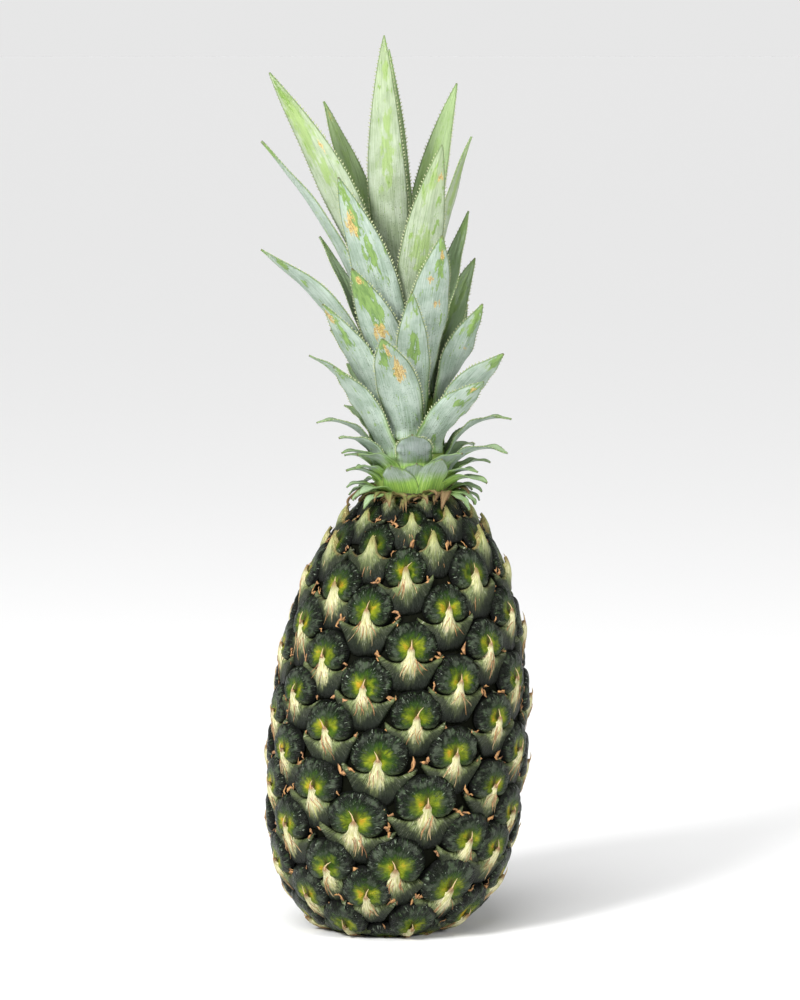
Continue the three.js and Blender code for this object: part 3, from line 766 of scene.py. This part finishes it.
def leaf_frame(leaf, foot, depth, share):
    at, along = leaf_curve(leaf, foot, depth, share)
    face = np.radians(leaf["angle"] + (leaf["face"] - leaf["angle"]) * smooth((share - 0.08) / 0.6))
    flat = np.stack([-np.sin(face), np.cos(face), np.zeros(len(share))], -1)
    outwards = rows_cross(flat, along)
    return at, along, outwards, rows_cross(along, outwards)


def leaf_size(leaf, foot, share, widest):
    root = max(stem_radius(foot) + 0.35, 5.0)
    channel = root + (CHANNEL_RADIUS - root) * smooth(share * 2)
    taper = np.minimum(1, (1 - share) / LEAF_TAPER)
    wide = leaf["width"] * np.sin(math.pi / 2 * np.maximum(taper, 0) ** 0.9)
    half = widest * np.tanh(wide / 2 / channel / widest)
    return channel, half


def leaf_points(leaf, foot, depth, widest, across, share, outside):
    """A place on a blade from its share across, its share of the length and its side, in mm."""
    at, along, outwards, sideways = leaf_frame(leaf, foot, depth, share)
    channel, half = leaf_size(leaf, foot, share, widest)
    middle = 0.9 - 0.1 * np.minimum(1, share * 2)
    thick = middle + (0.45 - middle) * across**2
    if "curl" in leaf:
        half = half * (1 + leaf["curl"] * smooth((share - 0.5) * 2))
    ripple = leaf["ripple"] * np.sin(share * leaf["waves"] + leaf["seed"]) * np.abs(across) ** 2.5
    ridge = 0.16 * np.cos(across * 9) * (1 - across**2) * np.minimum(1, channel * half / 5)
    radius = channel + outside * thick + ridge + ripple
    turned = across * half
    place = at + sideways * (radius * np.sin(turned))[:, None]
    return place + outwards * (radius * np.cos(turned) - channel)[:, None], channel * half


random_leaf = np.random.default_rng(5)


def grow_leaf(leaf, foot, depth, widest, teeth, pattern=LARGE_BLADE):
    """The blade and its edge teeth in metres, and where each point is on the leaf."""
    leaf.setdefault("seed", random_leaf.uniform(0, 60))
    leaf.setdefault("ripple", random_leaf.uniform(0.15, 0.4))
    leaf.setdefault("waves", random_leaf.uniform(14, 26))
    blade_points, blade_faces = pattern
    across = blade_points[:, 0]
    total = float(np.linalg.norm(leaf["tip"]))
    root = -ROOT_IN_STEM / total if teeth else 0.0
    share = 1 - (1 - (blade_points[:, 1] + 1) / 2) ** STATION_CROWDING
    share = root + (BLADE_END - root) * share
    outside = blade_points[:, 2]
    points, half_width = leaf_points(leaf, foot, depth, widest, across, share, outside)
    place = np.column_stack([across * half_width, total * share, np.full(len(points), leaf["seed"])])
    more = np.column_stack([half_width * (1 - np.abs(across)), outside, share])
    grown = Gathered()
    grown.add(points * MM, blade_faces, leaf_place=place, leaf_more=more)
    if teeth:
        for side in (-1.0, 1.0):
            spots = np.arange(FIRST_TOOTH * total, LAST_TOOTH * total, TOOTH_SPACING)
            spots = (spots + random_leaf.normal(0, 0.25, len(spots))) / total
            sides = np.full(len(spots), side)
            half = np.full(len(spots), 0.5)
            root, wide = leaf_points(leaf, foot, depth, widest, sides, spots, half)
            _, along, outwards, sideways = leaf_frame(leaf, foot, depth, spots)
            _, turned = leaf_size(leaf, foot, spots, widest)
            out = sideways * side - outwards * (0.35 * np.sin(turned))[:, None]
            out /= np.linalg.norm(out, axis=1, keepdims=True)
            for k in range(len(spots)):
                tall = random_leaf.uniform(1.0, 1.6) * (0.5 + 0.5 * min(1, wide[k] / 5))
                lean = out[k] + along[k] * 0.75
                lean /= np.linalg.norm(lean)
                normal = np.cross(along[k], out[k])
                shape = tooth_points[:, :1] * along[k] * 0.62 + tooth_points[:, 1:2] * normal * 0.3
                shape = shape + lean * (tooth_points[:, 2:] * tall) - out[k] * 0.15
                place = np.tile([side * wide[k], spots[k] * total, leaf["seed"]], (len(shape), 1))
                more = np.tile([0.0, 0.5, spots[k]], (len(shape), 1))
                more[:, 0] = -tooth_points[:, 2] * tall
                grown.add((root[k] + shape) * MM, tooth_faces, leaf_place=place, leaf_more=more)
    if "rubs" in leaf:
        places = np.concatenate(grown.rows["leaf_place"])
        halves = np.concatenate([half_width, np.repeat(1e9, grown.count - len(half_width))])
        steps, asides = places[:, 1] / total, places[:, 0] / halves
        rubs = np.zeros((grown.count, 3))
        for kind, middle, aside, long, wide, strength in leaf["rubs"]:
            spot = np.exp(-(((steps - middle) / long) ** 2) - ((asides - aside) / wide) ** 2)
            rubs[:, kind] += strength * spot
        grown.rows["leaf_rubs"] = [rubs]
    return grown


# Each short leaf: its side and facing in degrees, tip, width, bend, and its foot's height in mm.
FOOT_LEAVES = [
    (-128, -120, (-25, -20, 22), 14, 40, 7.95), (160, 160, (-31, 10, 19), 12, 46, 7.5),
    (-68, -74, (12, -27, 21), 18, 14, 2.0), (-110, -108, (-10, -26, 18), 18, 14, 2.0),
    (14, 10, (34, 8, 16), 12, 46, 6.15), (96, 96, (-3, 32, 12), 13, 48, 5.7),
    (-160, -155, (-30, -10, 14), 11, 46, 5.25), (-34, -50, (32, -16, 9), 12, 44, 4.8),
    (60, 60, (16, 28, 9), 12, 48, 4.35), (138, 138, (-22, 20, 6), 11, 48, 3.9),
    (-140, -130, (-24, -16, 4), 11, 50, 3.45), (-8, -20, (30, -4, 4), 10, 52, 3.0),
    (-158, -150, (-32, -12, 22), 11, 44, 12), (-146, -140, (-26, -17, 16), 12, 38, 8),
    (-52, -56, (21, -23, 23), 14, 26, 9), (-30, -34, (28, -16, 14), 12, 40, 7),
    (-130, -128, (-22, -21, -2), 6, 66, 1.7), (-150, -150, (-27, -14, 1), 7, 64, 1.9),
    (-26, -26, (27, -12, -1), 7, 64, 2.1), (-38, -38, (24, -17, -3), 6, 66, 2.3),
    (-10, -8, (29, -3, 0), 7, 62, 1.5), (30, 30, (26, 14, 3), 10, 58, 1.7),
    (115, 115, (-12, 28, 2), 10, 58, 1.9), (178, 178, (-29, 2, 2), 10, 58, 2.1),
    (78, 78, (7, 28, 1), 10, 60, 2.3), (150, 150, (-25, 15, 3), 10, 58, 1.5),
    (52, 52, (19, 23, 5), 10, 54, 1.7), (-170, -168, (-30, -4, 6), 10, 56, 1.9),
    (-89, -88, (1, -26, 19), 15, 12, 5.0),
]
small_leaves = Gathered()
for angle, face, tip, width, bend, foot in FOOT_LEAVES:
    leaf = {"angle": angle, "face": face, "tip": np.array(tip, float), "width": width, "bend": bend,
            "rubs": ()}
    small_leaves.join(grow_leaf(leaf, foot, FOOT_SINK, LEAF_WRAP, False))
foot_leaves = small_leaves.piece("crown_foot_leaves")


def leaf_finish(name, base, bloom, foot_glow, worn, fresh, brown, tip_worn):
    """Leaf skin: a green blade under a pale waxy bloom that is rubbed off in patches."""
    skin = Finish(name, Roughness=0.5, Specular_IOR_Level=0.3)
    across, along, seed = skin.attribute("leaf_place")
    edge, outside, share = skin.attribute("leaf_more")
    lines = skin.noise((across * 2.4, along * 0.03, seed), 1.0, 3.0, 0.6)
    hairlines = skin.noise((across * 7.0, along * 0.05, seed), 1.0, 1.0)
    cloud = skin.noise((across * 0.10, along * 0.045, seed), 1.5, 3.0, 0.6)
    rub = skin.noise((across * 0.17, along * 0.045, seed * 1.3), 1.5, 5.0, 0.62)
    chips = skin.noise((across * 0.8, along * 0.25, seed * 2.1), 1.3, 3.0)
    specks = skin.noise((across * 1.5, along * 0.8, seed), 1.2, 2.0)
    tear = skin.noise((across * 0.5, along * 0.07, seed * 1.9), 1.3, 4.0, 0.62)
    dusty = skin.between(lines, 0.3, 0.7) * 0.45 + skin.between(cloud, 0.35, 0.65) * 0.55
    worn_field, sore_field, lush_lit_field = skin.attribute("leaf_rubs")
    ragged = (tear - 0.5) * 3.4 + (rub - 0.5) * 1.4 + (chips - 0.5) * 0.9
    high = skin.between(share + (cloud - 0.5) * 0.9, fresh, fresh + 0.5)
    soft = (rub - 0.5) * 2.8 + (tear - 0.5) * 1.6 + (chips - 0.5) * 0.5
    # Bright yellow-green patches: the leaf's own green, with light shining through the blade painted in.
    lush_and_lit_through = skin.between(lush_lit_field + soft, 0.5, 0.85)
    tip_wear = skin.between(share, 0.70, 1.0) * 0.6
    worn_zone = skin.between(worn_field * 1.15 + tip_wear * tip_worn + ragged, 0.55, 0.63)
    scuffs = skin.between(tear + (chips - 0.5) * 0.25, worn, worn + 0.03)
    worn_zone = worn_zone.math("MAXIMUM", scuffs * 0.8)
    deep = skin.blend(skin.between(tear, 0.4, 0.6), (0.11, 0.21, 0.035), (0.20, 0.33, 0.07))
    sore = skin.between(sore_field + ragged + (specks - 0.5) * 0.7, 0.56, 0.64)
    sore = sore * skin.between(sore_field, 0.04, 0.3)
    scab = skin.blend(skin.between(specks, 0.4, 0.6), (0.38, 0.22, 0.07), (0.66, 0.48, 0.18))
    pits = skin.between(specks, 0.61, 0.69) * skin.between(share, 0.8, 0.2)
    glow = skin.between(share + (lines - 0.5) * 0.5 + (cloud - 0.5) * 0.3, foot_glow, foot_glow - 0.3)
    side_glow = skin.between(edge + (lines - 0.5) * 1.4, 2.4, 0.3) * skin.between(share, 0.5, 0.05)
    fresh_green = skin.blend(skin.between(lines, 0.3, 0.7), (0.11, 0.25, 0.02), (0.34, 0.54, 0.06))
    inner = skin.between(outside, 0.45, 0.2)
    rim = skin.between(edge + (lines - 0.5) * 0.4, 0.6, 0.25)
    tooth = skin.between(edge, -0.02, -0.35)
    tip = skin.between(share + (chips - 0.5) * 0.05, brown, brown + 0.03)
    colour = skin.layers(
        skin.blend(dusty, base, bloom),
        (high * 0.4, (0.31, 0.41, 0.15)),
        (lush_and_lit_through * 0.72, (0.26, 0.385, 0.10)),
        (worn_zone * 0.9, deep),
        (sore * 0.85, scab),
        (skin.between(hairlines, 0.57, 0.68) * 0.42, (0.12, 0.19, 0.09)),
        (pits * 0.7, (0.05, 0.06, 0.03)),
        (glow.math("MAXIMUM", side_glow * 0.7) * 0.85, fresh_green),
        (inner * 0.6, (0.24, 0.36, 0.13)),
        (rim * 0.75, (0.12, 0.19, 0.06)),
        (tooth * 0.9, (0.42, 0.45, 0.26)),
        (tip, (0.10, 0.07, 0.03)),
    )
    skin.lead(colour, "Base Color")
    skin.lead(0.56 - 0.2 * worn_zone + 0.12 * lines, "Roughness")
    skin.bump(lines * 0.7 + hairlines * 0.5 - worn_zone * 0.2, 0.0008, 0.8)
    return skin


small_skin = leaf_finish("small_leaf_skin", (0.21, 0.285, 0.19), (0.38, 0.45, 0.40),
                         0.66, 0.66, 0.9, 0.97, 0.8)
foot_leaves.data.materials.append(small_skin.material)
stem_skin = Finish("stem_skin", Roughness=0.6)
fibre = stem_skin.noise(stem_skin.place(), 420.0, 4.0)
height = stem_skin.parts(stem_skin.place())[2]
green_stem = stem_skin.blend(fibre, (0.12, 0.20, 0.03), (0.28, 0.38, 0.08))
dry_stem = stem_skin.blend(fibre, (0.012, 0.012, 0.005), (0.10, 0.085, 0.035))
low_stem = stem_skin.between(height, 0.1975, 0.1940)
stem_skin.lead(stem_skin.blend(low_stem, green_stem, dry_stem), "Base Color")
stem_skin.bump(fibre, 0.0005)
stem.data.materials.append(stem_skin.material)
for piece in (stem, foot_leaves):
    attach(piece, "root")
    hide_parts("crown_stem")

# The dry leaves at the very foot of the crown: the first ones that the crown grew, thin, narrow
# and curled, lying over the top eyes. They have dried from olive to tan and brown.
DRY_LEAVES = 64
GROWTH_TURN = 137.5
INNER_REACH = 19.5
DRY_WRAP = math.radians(60)
dry_ring = Gathered()
for i in range(DRY_LEAVES):
    angle = i * GROWTH_TURN + random_leaf.normal(0, 14)
    reach = random_leaf.uniform(INNER_REACH, 31)
    side = angle + random_leaf.normal(0, 22)
    low = 4.0 - 0.5 * (reach - INNER_REACH) + random_leaf.normal(0, 1.6)
    leaf = {"angle": angle, "face": side, "tip": np.array([*(reach * level(side))[:2], low]),
            "width": random_leaf.uniform(1.6, 5.0), "bend": random_leaf.uniform(50, 88)}
    foot = random_leaf.uniform(-0.5, 3.0)
    dry_ring.join(grow_leaf(leaf, foot, FOOT_SINK, DRY_WRAP, False, DRY_BLADE))
dry_leaves = dry_ring.piece("dry_crown_leaves")
dried = Finish("dried_leaf", Roughness=0.75, Specular_IOR_Level=0.2)
across, along, seed = dried.attribute("leaf_place")
edge, outside, share = dried.attribute("leaf_more")
lines = dried.noise((across * 3.0, along * 0.08, seed), 1.0, 3.0)
grain = dried.noise(dried.place(), 600.0, 3.0)
withered = dried.noise((seed * 3.0, seed, seed), 1.0, 0.0)
olive = dried.blend(lines, (0.06, 0.08, 0.02), (0.26, 0.29, 0.09))
tan = dried.blend(lines, (0.10, 0.06, 0.03), (0.34, 0.24, 0.12))
dryness = dried.between(share + (grain - 0.5) * 0.5 + (withered - 0.5) * 2.2, 0.5, 0.9)
dried_colour = dried.blend(dryness, olive, tan)
dry_rim = dried.between(edge + (grain - 0.5) * 0.8, 0.8, 0.1)
dried_colour = dried.blend(dry_rim * 0.6, dried_colour, (0.10, 0.05, 0.02))
dried.lead(dried_colour, "Base Color")
dried.bump(lines + grain * 0.4, 0.0006)
dry_leaves.data.materials.append(dried.material)
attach(dry_leaves, "root")
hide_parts("crown_stem")

# The large leaves of the crown: stiff channelled blades with a saw edge, each growing from the
# stem on its own side, from the tall heart leaves to the outer ones that arch away. They are
# green under a grey waxy bloom, which handling has rubbed off in streaks and patches.
LEAF_LOWEST = 12.5
LEAF_HIGHEST = 76.0
STEM_GAP = 0.35
# Each leaf: its side and facing in degrees, tip in mm, width in mm, bend in degrees and bow in mm.
LEAVES = [
    (-97, -97, (-13, -4, 204), 21, 3, -5),
    (88, 86, (-11, 7, 198), 18, 3, -3),
    (162, 132, (-40, 17, 175), 21, 7, 0),
    (40, 60, (19, 24, 183), 22, 7, -2),
    (-143, -113, (-63, -18, 188), 23, 8, 0),
    (0, -26, (25, 2, 160), 16, 9, 1),
    (-70, -78, (12, -26, 157), 24, 3, -1),
    (110, 112, (-17, 43, 147), 19, 8, 0),
    (178, 200, (-67, -3, 158), 20, 12, 0),
    (80, 80, (2, 45, 140), 20, 8, 0),
    (-118, -104, (-33, -28, 143), 25, 5, 0),
    (8, 48, (24, 11, 127), 15, 6, 0),
    (-64, -72, (12, -33, 118), 25, 3, 0),
    (159, 152, (-42, 27, 115), 16, 9, 0),
    (101, 101, (-14, 50, 112), 17, 9, 0),
    (-172, -136, (-67, -10, 111), 21, 15, 0),
    (40, 68, (27, 18, 106), 17, 6, 0),
    (-110, -100, (-27, -32, 104), 23, 6, 0),
    (108, 108, (-18, 46, 88), 20, 10, 0),
    (-84, -86, (-1, -35, 94), 17, 4, 0),
    (-14, -62, (30, -6, 87), 18, 6, 0),
    (58, 58, (24, 42, 84), 20, 10, 0),
    (155, 150, (-37, 20, 74), 18, 11, 0),
    (-142, -116, (-40, -24, 88), 18, 9, 0),
    (82, 82, (4, 46, 64), 19, 12, 0),
    (-100, -96, (-14, -39, 74), 24, 7, 0),
    (-33, -68, (39, -18, 66), 20, 8, 0),
    (132, 132, (-30, 34, 58), 18, 14, 0),
    (33, 45, (34, 25, 58), 18, 14, 0),
    (-168, -146, (-46, -12, 65), 15, 22, 0),
    (-55, -76, (30, -31, 55), 20, 8, 0),
    (104, 104, (-12, 42, 42), 17, 24, 0),
    (-140, -120, (-35, -27, 61), 17, 10, 0),
    (62, 62, (20, 38, 38), 17, 26, 0),
    (152, 150, (-31, 14, 41), 14, 24, 0),
    (6, -20, (43, -2, 36), 15, 40, 0),
    (-176, -160, (-43, -9, 35), 14, 44, 0),
    (-86, -88, (-1, -28, 31.5), 18, 12, 0),
    (84, 84, (3, 38, 26), 15, 44, 0),
    (-150, -140, (-33, -17, 29), 14, 40, 0),
    (124, 124, (-22, 32, 24), 15, 42, 0),
    (-18, -40, (41, -14, 22), 15, 42, 0),
    (42, 42, (27, 26, 22), 14, 44, 0),
]

outer_skin = leaf_finish("outer_leaf_skin", (0.22, 0.30, 0.225), (0.44, 0.52, 0.455),
                         0.06, 0.64, 0.8, 0.975, 1.0)
heart_skin = leaf_finish("heart_leaf_skin", (0.25, 0.32, 0.18), (0.43, 0.495, 0.37),
                         0.06, 0.67, 0.6, 0.985, 0.4)
young_skin = leaf_finish("young_leaf_skin", (0.22, 0.29, 0.23), (0.37, 0.42, 0.41),
                         0.2, 0.66, 0.9, 0.97, 0.6)
HEART_LEAVES = (1, 2, 3, 4, 5, 6, 7, 10)
YOUNG_LEAF = 38
WORN, SORE, LUSH_LIT = 0, 1, 2
# Where the bloom is rubbed off, and where the blade is painted bright yellow-green as its own green with
# light shining through it:
# kind, share of the length, share of the half-width (right is plus), how long and how wide the place is
# in those shares, and how strong.
RUBS = {
    1: [(LUSH_LIT, 0.72, 0.2, 0.10, 0.4, 1.0), (LUSH_LIT, 0.55, 0.0, 0.10, 0.5, 0.8),
        (LUSH_LIT, 0.9, 0.2, 0.06, 0.6, 0.9), (WORN, 0.82, 0.5, 0.05, 0.2, 0.5)],
    3: [(LUSH_LIT, 0.7, 0.0, 0.3, 0.8, 0.9), (SORE, 0.93, -0.2, 0.03, 0.5, 0.7)],
    4: [(LUSH_LIT, 0.62, 0.3, 0.2, 0.7, 1.2), (WORN, 0.5, 0.3, 0.12, 0.4, 0.6)],
    5: [(LUSH_LIT, 0.86, 0.0, 0.12, 0.9, 1.0), (LUSH_LIT, 0.66, 0.0, 0.10, 0.6, 0.9),
        (SORE, 0.72, 0.5, 0.02, 0.2, 0.7), (WORN, 0.93, 0.0, 0.05, 0.5, 0.6)],
    6: [(LUSH_LIT, 0.8, 0.0, 0.2, 0.6, 0.9)],
    7: [(LUSH_LIT, 0.52, 0.0, 0.14, 0.6, 1.1), (LUSH_LIT, 0.8, -0.2, 0.1, 0.5, 0.8),
        (SORE, 0.86, 0.5, 0.02, 0.3, 0.8), (WORN, 0.7, 0.5, 0.08, 0.2, 0.6)],
    9: [(LUSH_LIT, 0.5, 0.0, 0.2, 0.5, 0.6)],
    11: [(WORN, 0.78, 0.0, 0.08, 0.35, 0.95), (WORN, 0.60, 0.2, 0.10, 0.30, 0.85),
         (SORE, 0.78, -0.30, 0.07, 0.3, 1.15), (LUSH_LIT, 0.92, 0.0, 0.06, 0.6, 0.8)],
    12: [(WORN, 0.5, 0.2, 0.25, 0.5, 0.8)],
    13: [(SORE, 0.88, 0.3, 0.03, 0.3, 1.0), (SORE, 0.72, -0.2, 0.02, 0.3, 0.8),
         (SORE, 0.55, 0.3, 0.03, 0.25, 0.8), (WORN, 0.8, 0.2, 0.08, 0.3, 0.7),
         (WORN, 0.45, 0.5, 0.08, 0.2, 0.6)],
    16: [(WORN, 0.86, 0.2, 0.04, 0.4, 0.7), (WORN, 0.72, 0.3, 0.03, 0.3, 0.6)],
    17: [(WORN, 0.6, 0.4, 0.2, 0.6, 0.9), (LUSH_LIT, 0.8, 0.0, 0.2, 0.6, 1.0)],
    18: [(WORN, 0.88, 0.0, 0.13, 0.9, 1.1), (WORN, 0.66, 0.2, 0.13, 0.45, 1.0),
         (SORE, 0.90, 0.3, 0.04, 0.35, 1.1), (SORE, 0.52, 0.0, 0.06, 0.3, 1.1)],
    20: [(WORN, 0.55, 0.1, 0.18, 0.35, 0.95), (LUSH_LIT, 0.8, -0.3, 0.15, 0.5, 0.9)],
    21: [(WORN, 0.75, 0.2, 0.12, 0.5, 0.8), (LUSH_LIT, 0.85, 0.0, 0.15, 0.7, 1.0),
         (SORE, 0.6, 0.2, 0.03, 0.2, 0.7)],
    24: [(WORN, 0.72, 0.1, 0.14, 0.4, 0.95), (SORE, 0.90, -0.2, 0.08, 0.45, 1.2)],
    26: [(WORN, 0.80, -0.3, 0.12, 0.35, 1.0), (SORE, 0.88, 0.1, 0.06, 0.35, 1.1),
         (SORE, 0.63, 0.35, 0.12, 0.28, 1.3), (WORN, 0.62, 0.2, 0.10, 0.3, 0.6)],
    27: [(WORN, 0.90, 0.0, 0.07, 0.5, 0.9), (LUSH_LIT, 0.8, 0.2, 0.1, 0.6, 0.8)],
    30: [(WORN, 0.8, 0.0, 0.06, 0.4, 0.6)],
    31: [(WORN, 0.62, -0.1, 0.07, 0.5, 1.0), (SORE, 0.86, -0.3, 0.05, 0.3, 0.9),
         (WORN, 0.83, -0.3, 0.08, 0.3, 0.8)],
}

for i, (angle, face, tip, width, bend, bow) in enumerate(LEAVES):
    number = i + 1
    foot = LEAF_HIGHEST + (LEAF_LOWEST - LEAF_HIGHEST) * (i / (len(LEAVES) - 1)) ** 0.7
    leaf = {"angle": angle, "face": face, "tip": np.array(tip, float), "width": width, "bend": bend,
            "bow": bow, "rubs": RUBS.get(number, ())}
    blade = grow_leaf(leaf, foot, -STEM_GAP, LEAF_WRAP, True).piece(f"leaf_{number:02d}_blade")
    if number in HEART_LEAVES:
        blade.data.materials.append(heart_skin.material)
    elif number == YOUNG_LEAF:
        blade.data.materials.append(young_skin.material)
    else:
        blade.data.materials.append(outer_skin.material)
    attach(blade, "root")
    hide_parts(f"leaf_{number:02d}")

# The cut end of the stalk in the middle of the base: a short plug of pale fibrous wood, left where
# the fruit was cut from the plant. It keeps the solid's own shape.
cut_stalk = Finish("cut_stalk", Roughness=0.85)
rings = cut_stalk.noise(cut_stalk.place(), 900.0, 5.0)
cut_stalk.lead(cut_stalk.blend(rings, (0.30, 0.20, 0.10), (0.62, 0.48, 0.28)), "Base Color")
cut_stalk.bump(rings, 0.0005)
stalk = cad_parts["fruit_stalk"]
stalk.material_slots[0].link = "OBJECT"
stalk.material_slots[0].material = cut_stalk.material

# The floor, the lights and the camera: a pale seamless table, soft light from large panels and a
# long lens a little above the fruit's middle.
bpy.ops.object.select_all(action="DESELECT")
bpy.ops.mesh.primitive_plane_add(size=300.0)
floor = bpy.context.object
floor.name = "floor"
pale = Finish("pale_floor", Base_Color=(0.9, 0.9, 0.9, 1.0), Roughness=0.9, Specular_IOR_Level=0.0)
floor.data.materials.append(pale.material)

world = bpy.data.worlds.new("studio")
bpy.context.scene.world = world
sky = Nodes(world, "Background", Color=(1.0, 1.0, 1.0, 1.0))
upwards = sky.parts(sky.node("ShaderNodeTexCoord"))[2]
settings = {"interpolation_type": "SMOOTHSTEP"}
band = sky.node("ShaderNodeMapRange", settings, {0: upwards, 1: 0.03, 2: 0.22, 3: 0.797, 4: 0.25})
sky.lead(band, "Strength")


def light_panel(name, place, aim, size, watts):
    data = bpy.data.lights.new(name, "AREA")
    data.shape, data.size, data.energy = "DISK", size, watts
    lamp = bpy.data.objects.new(name, data)
    bpy.context.collection.objects.link(lamp)
    lamp.location = place
    lamp.rotation_euler = (Vector(aim) - Vector(place)).to_track_quat("-Z", "Y").to_euler()


light_panel("key_panel", (-0.8, -1.1, 1.0), (0, 0, 0.2), 0.4, 26)
light_panel("fill_panel", (1.0, -1.0, 0.7), (0, 0, 0.2), 0.4, 9)
daylight = bpy.data.lights.new("high_soft_light", "SUN")
daylight.energy, daylight.angle = 2.3, math.radians(50)
overhead = bpy.data.objects.new("high_soft_light", daylight)
bpy.context.collection.objects.link(overhead)
overhead.rotation_euler = (math.radians(28), math.radians(-12), 0)

camera_data = bpy.data.cameras.new("camera")
camera = bpy.data.objects.new("camera", camera_data)
bpy.context.collection.objects.link(camera)
aim = Vector((0.0053, 0.0, 0.1895))
elevation = math.radians(6.0)
distance = 1.9
sensor = 36.0
metres_in_view = 0.439
camera.location = aim + distance * Vector((0.0, -math.cos(elevation), math.sin(elevation)))
camera.rotation_euler = (aim - camera.location).to_track_quat("-Z", "Y").to_euler()
camera_data.sensor_fit = "VERTICAL"
camera_data.sensor_height = sensor
camera_data.lens = sensor * distance / metres_in_view
bpy.context.scene.camera = camera
bpy.context.scene.view_settings.view_transform = "Standard"
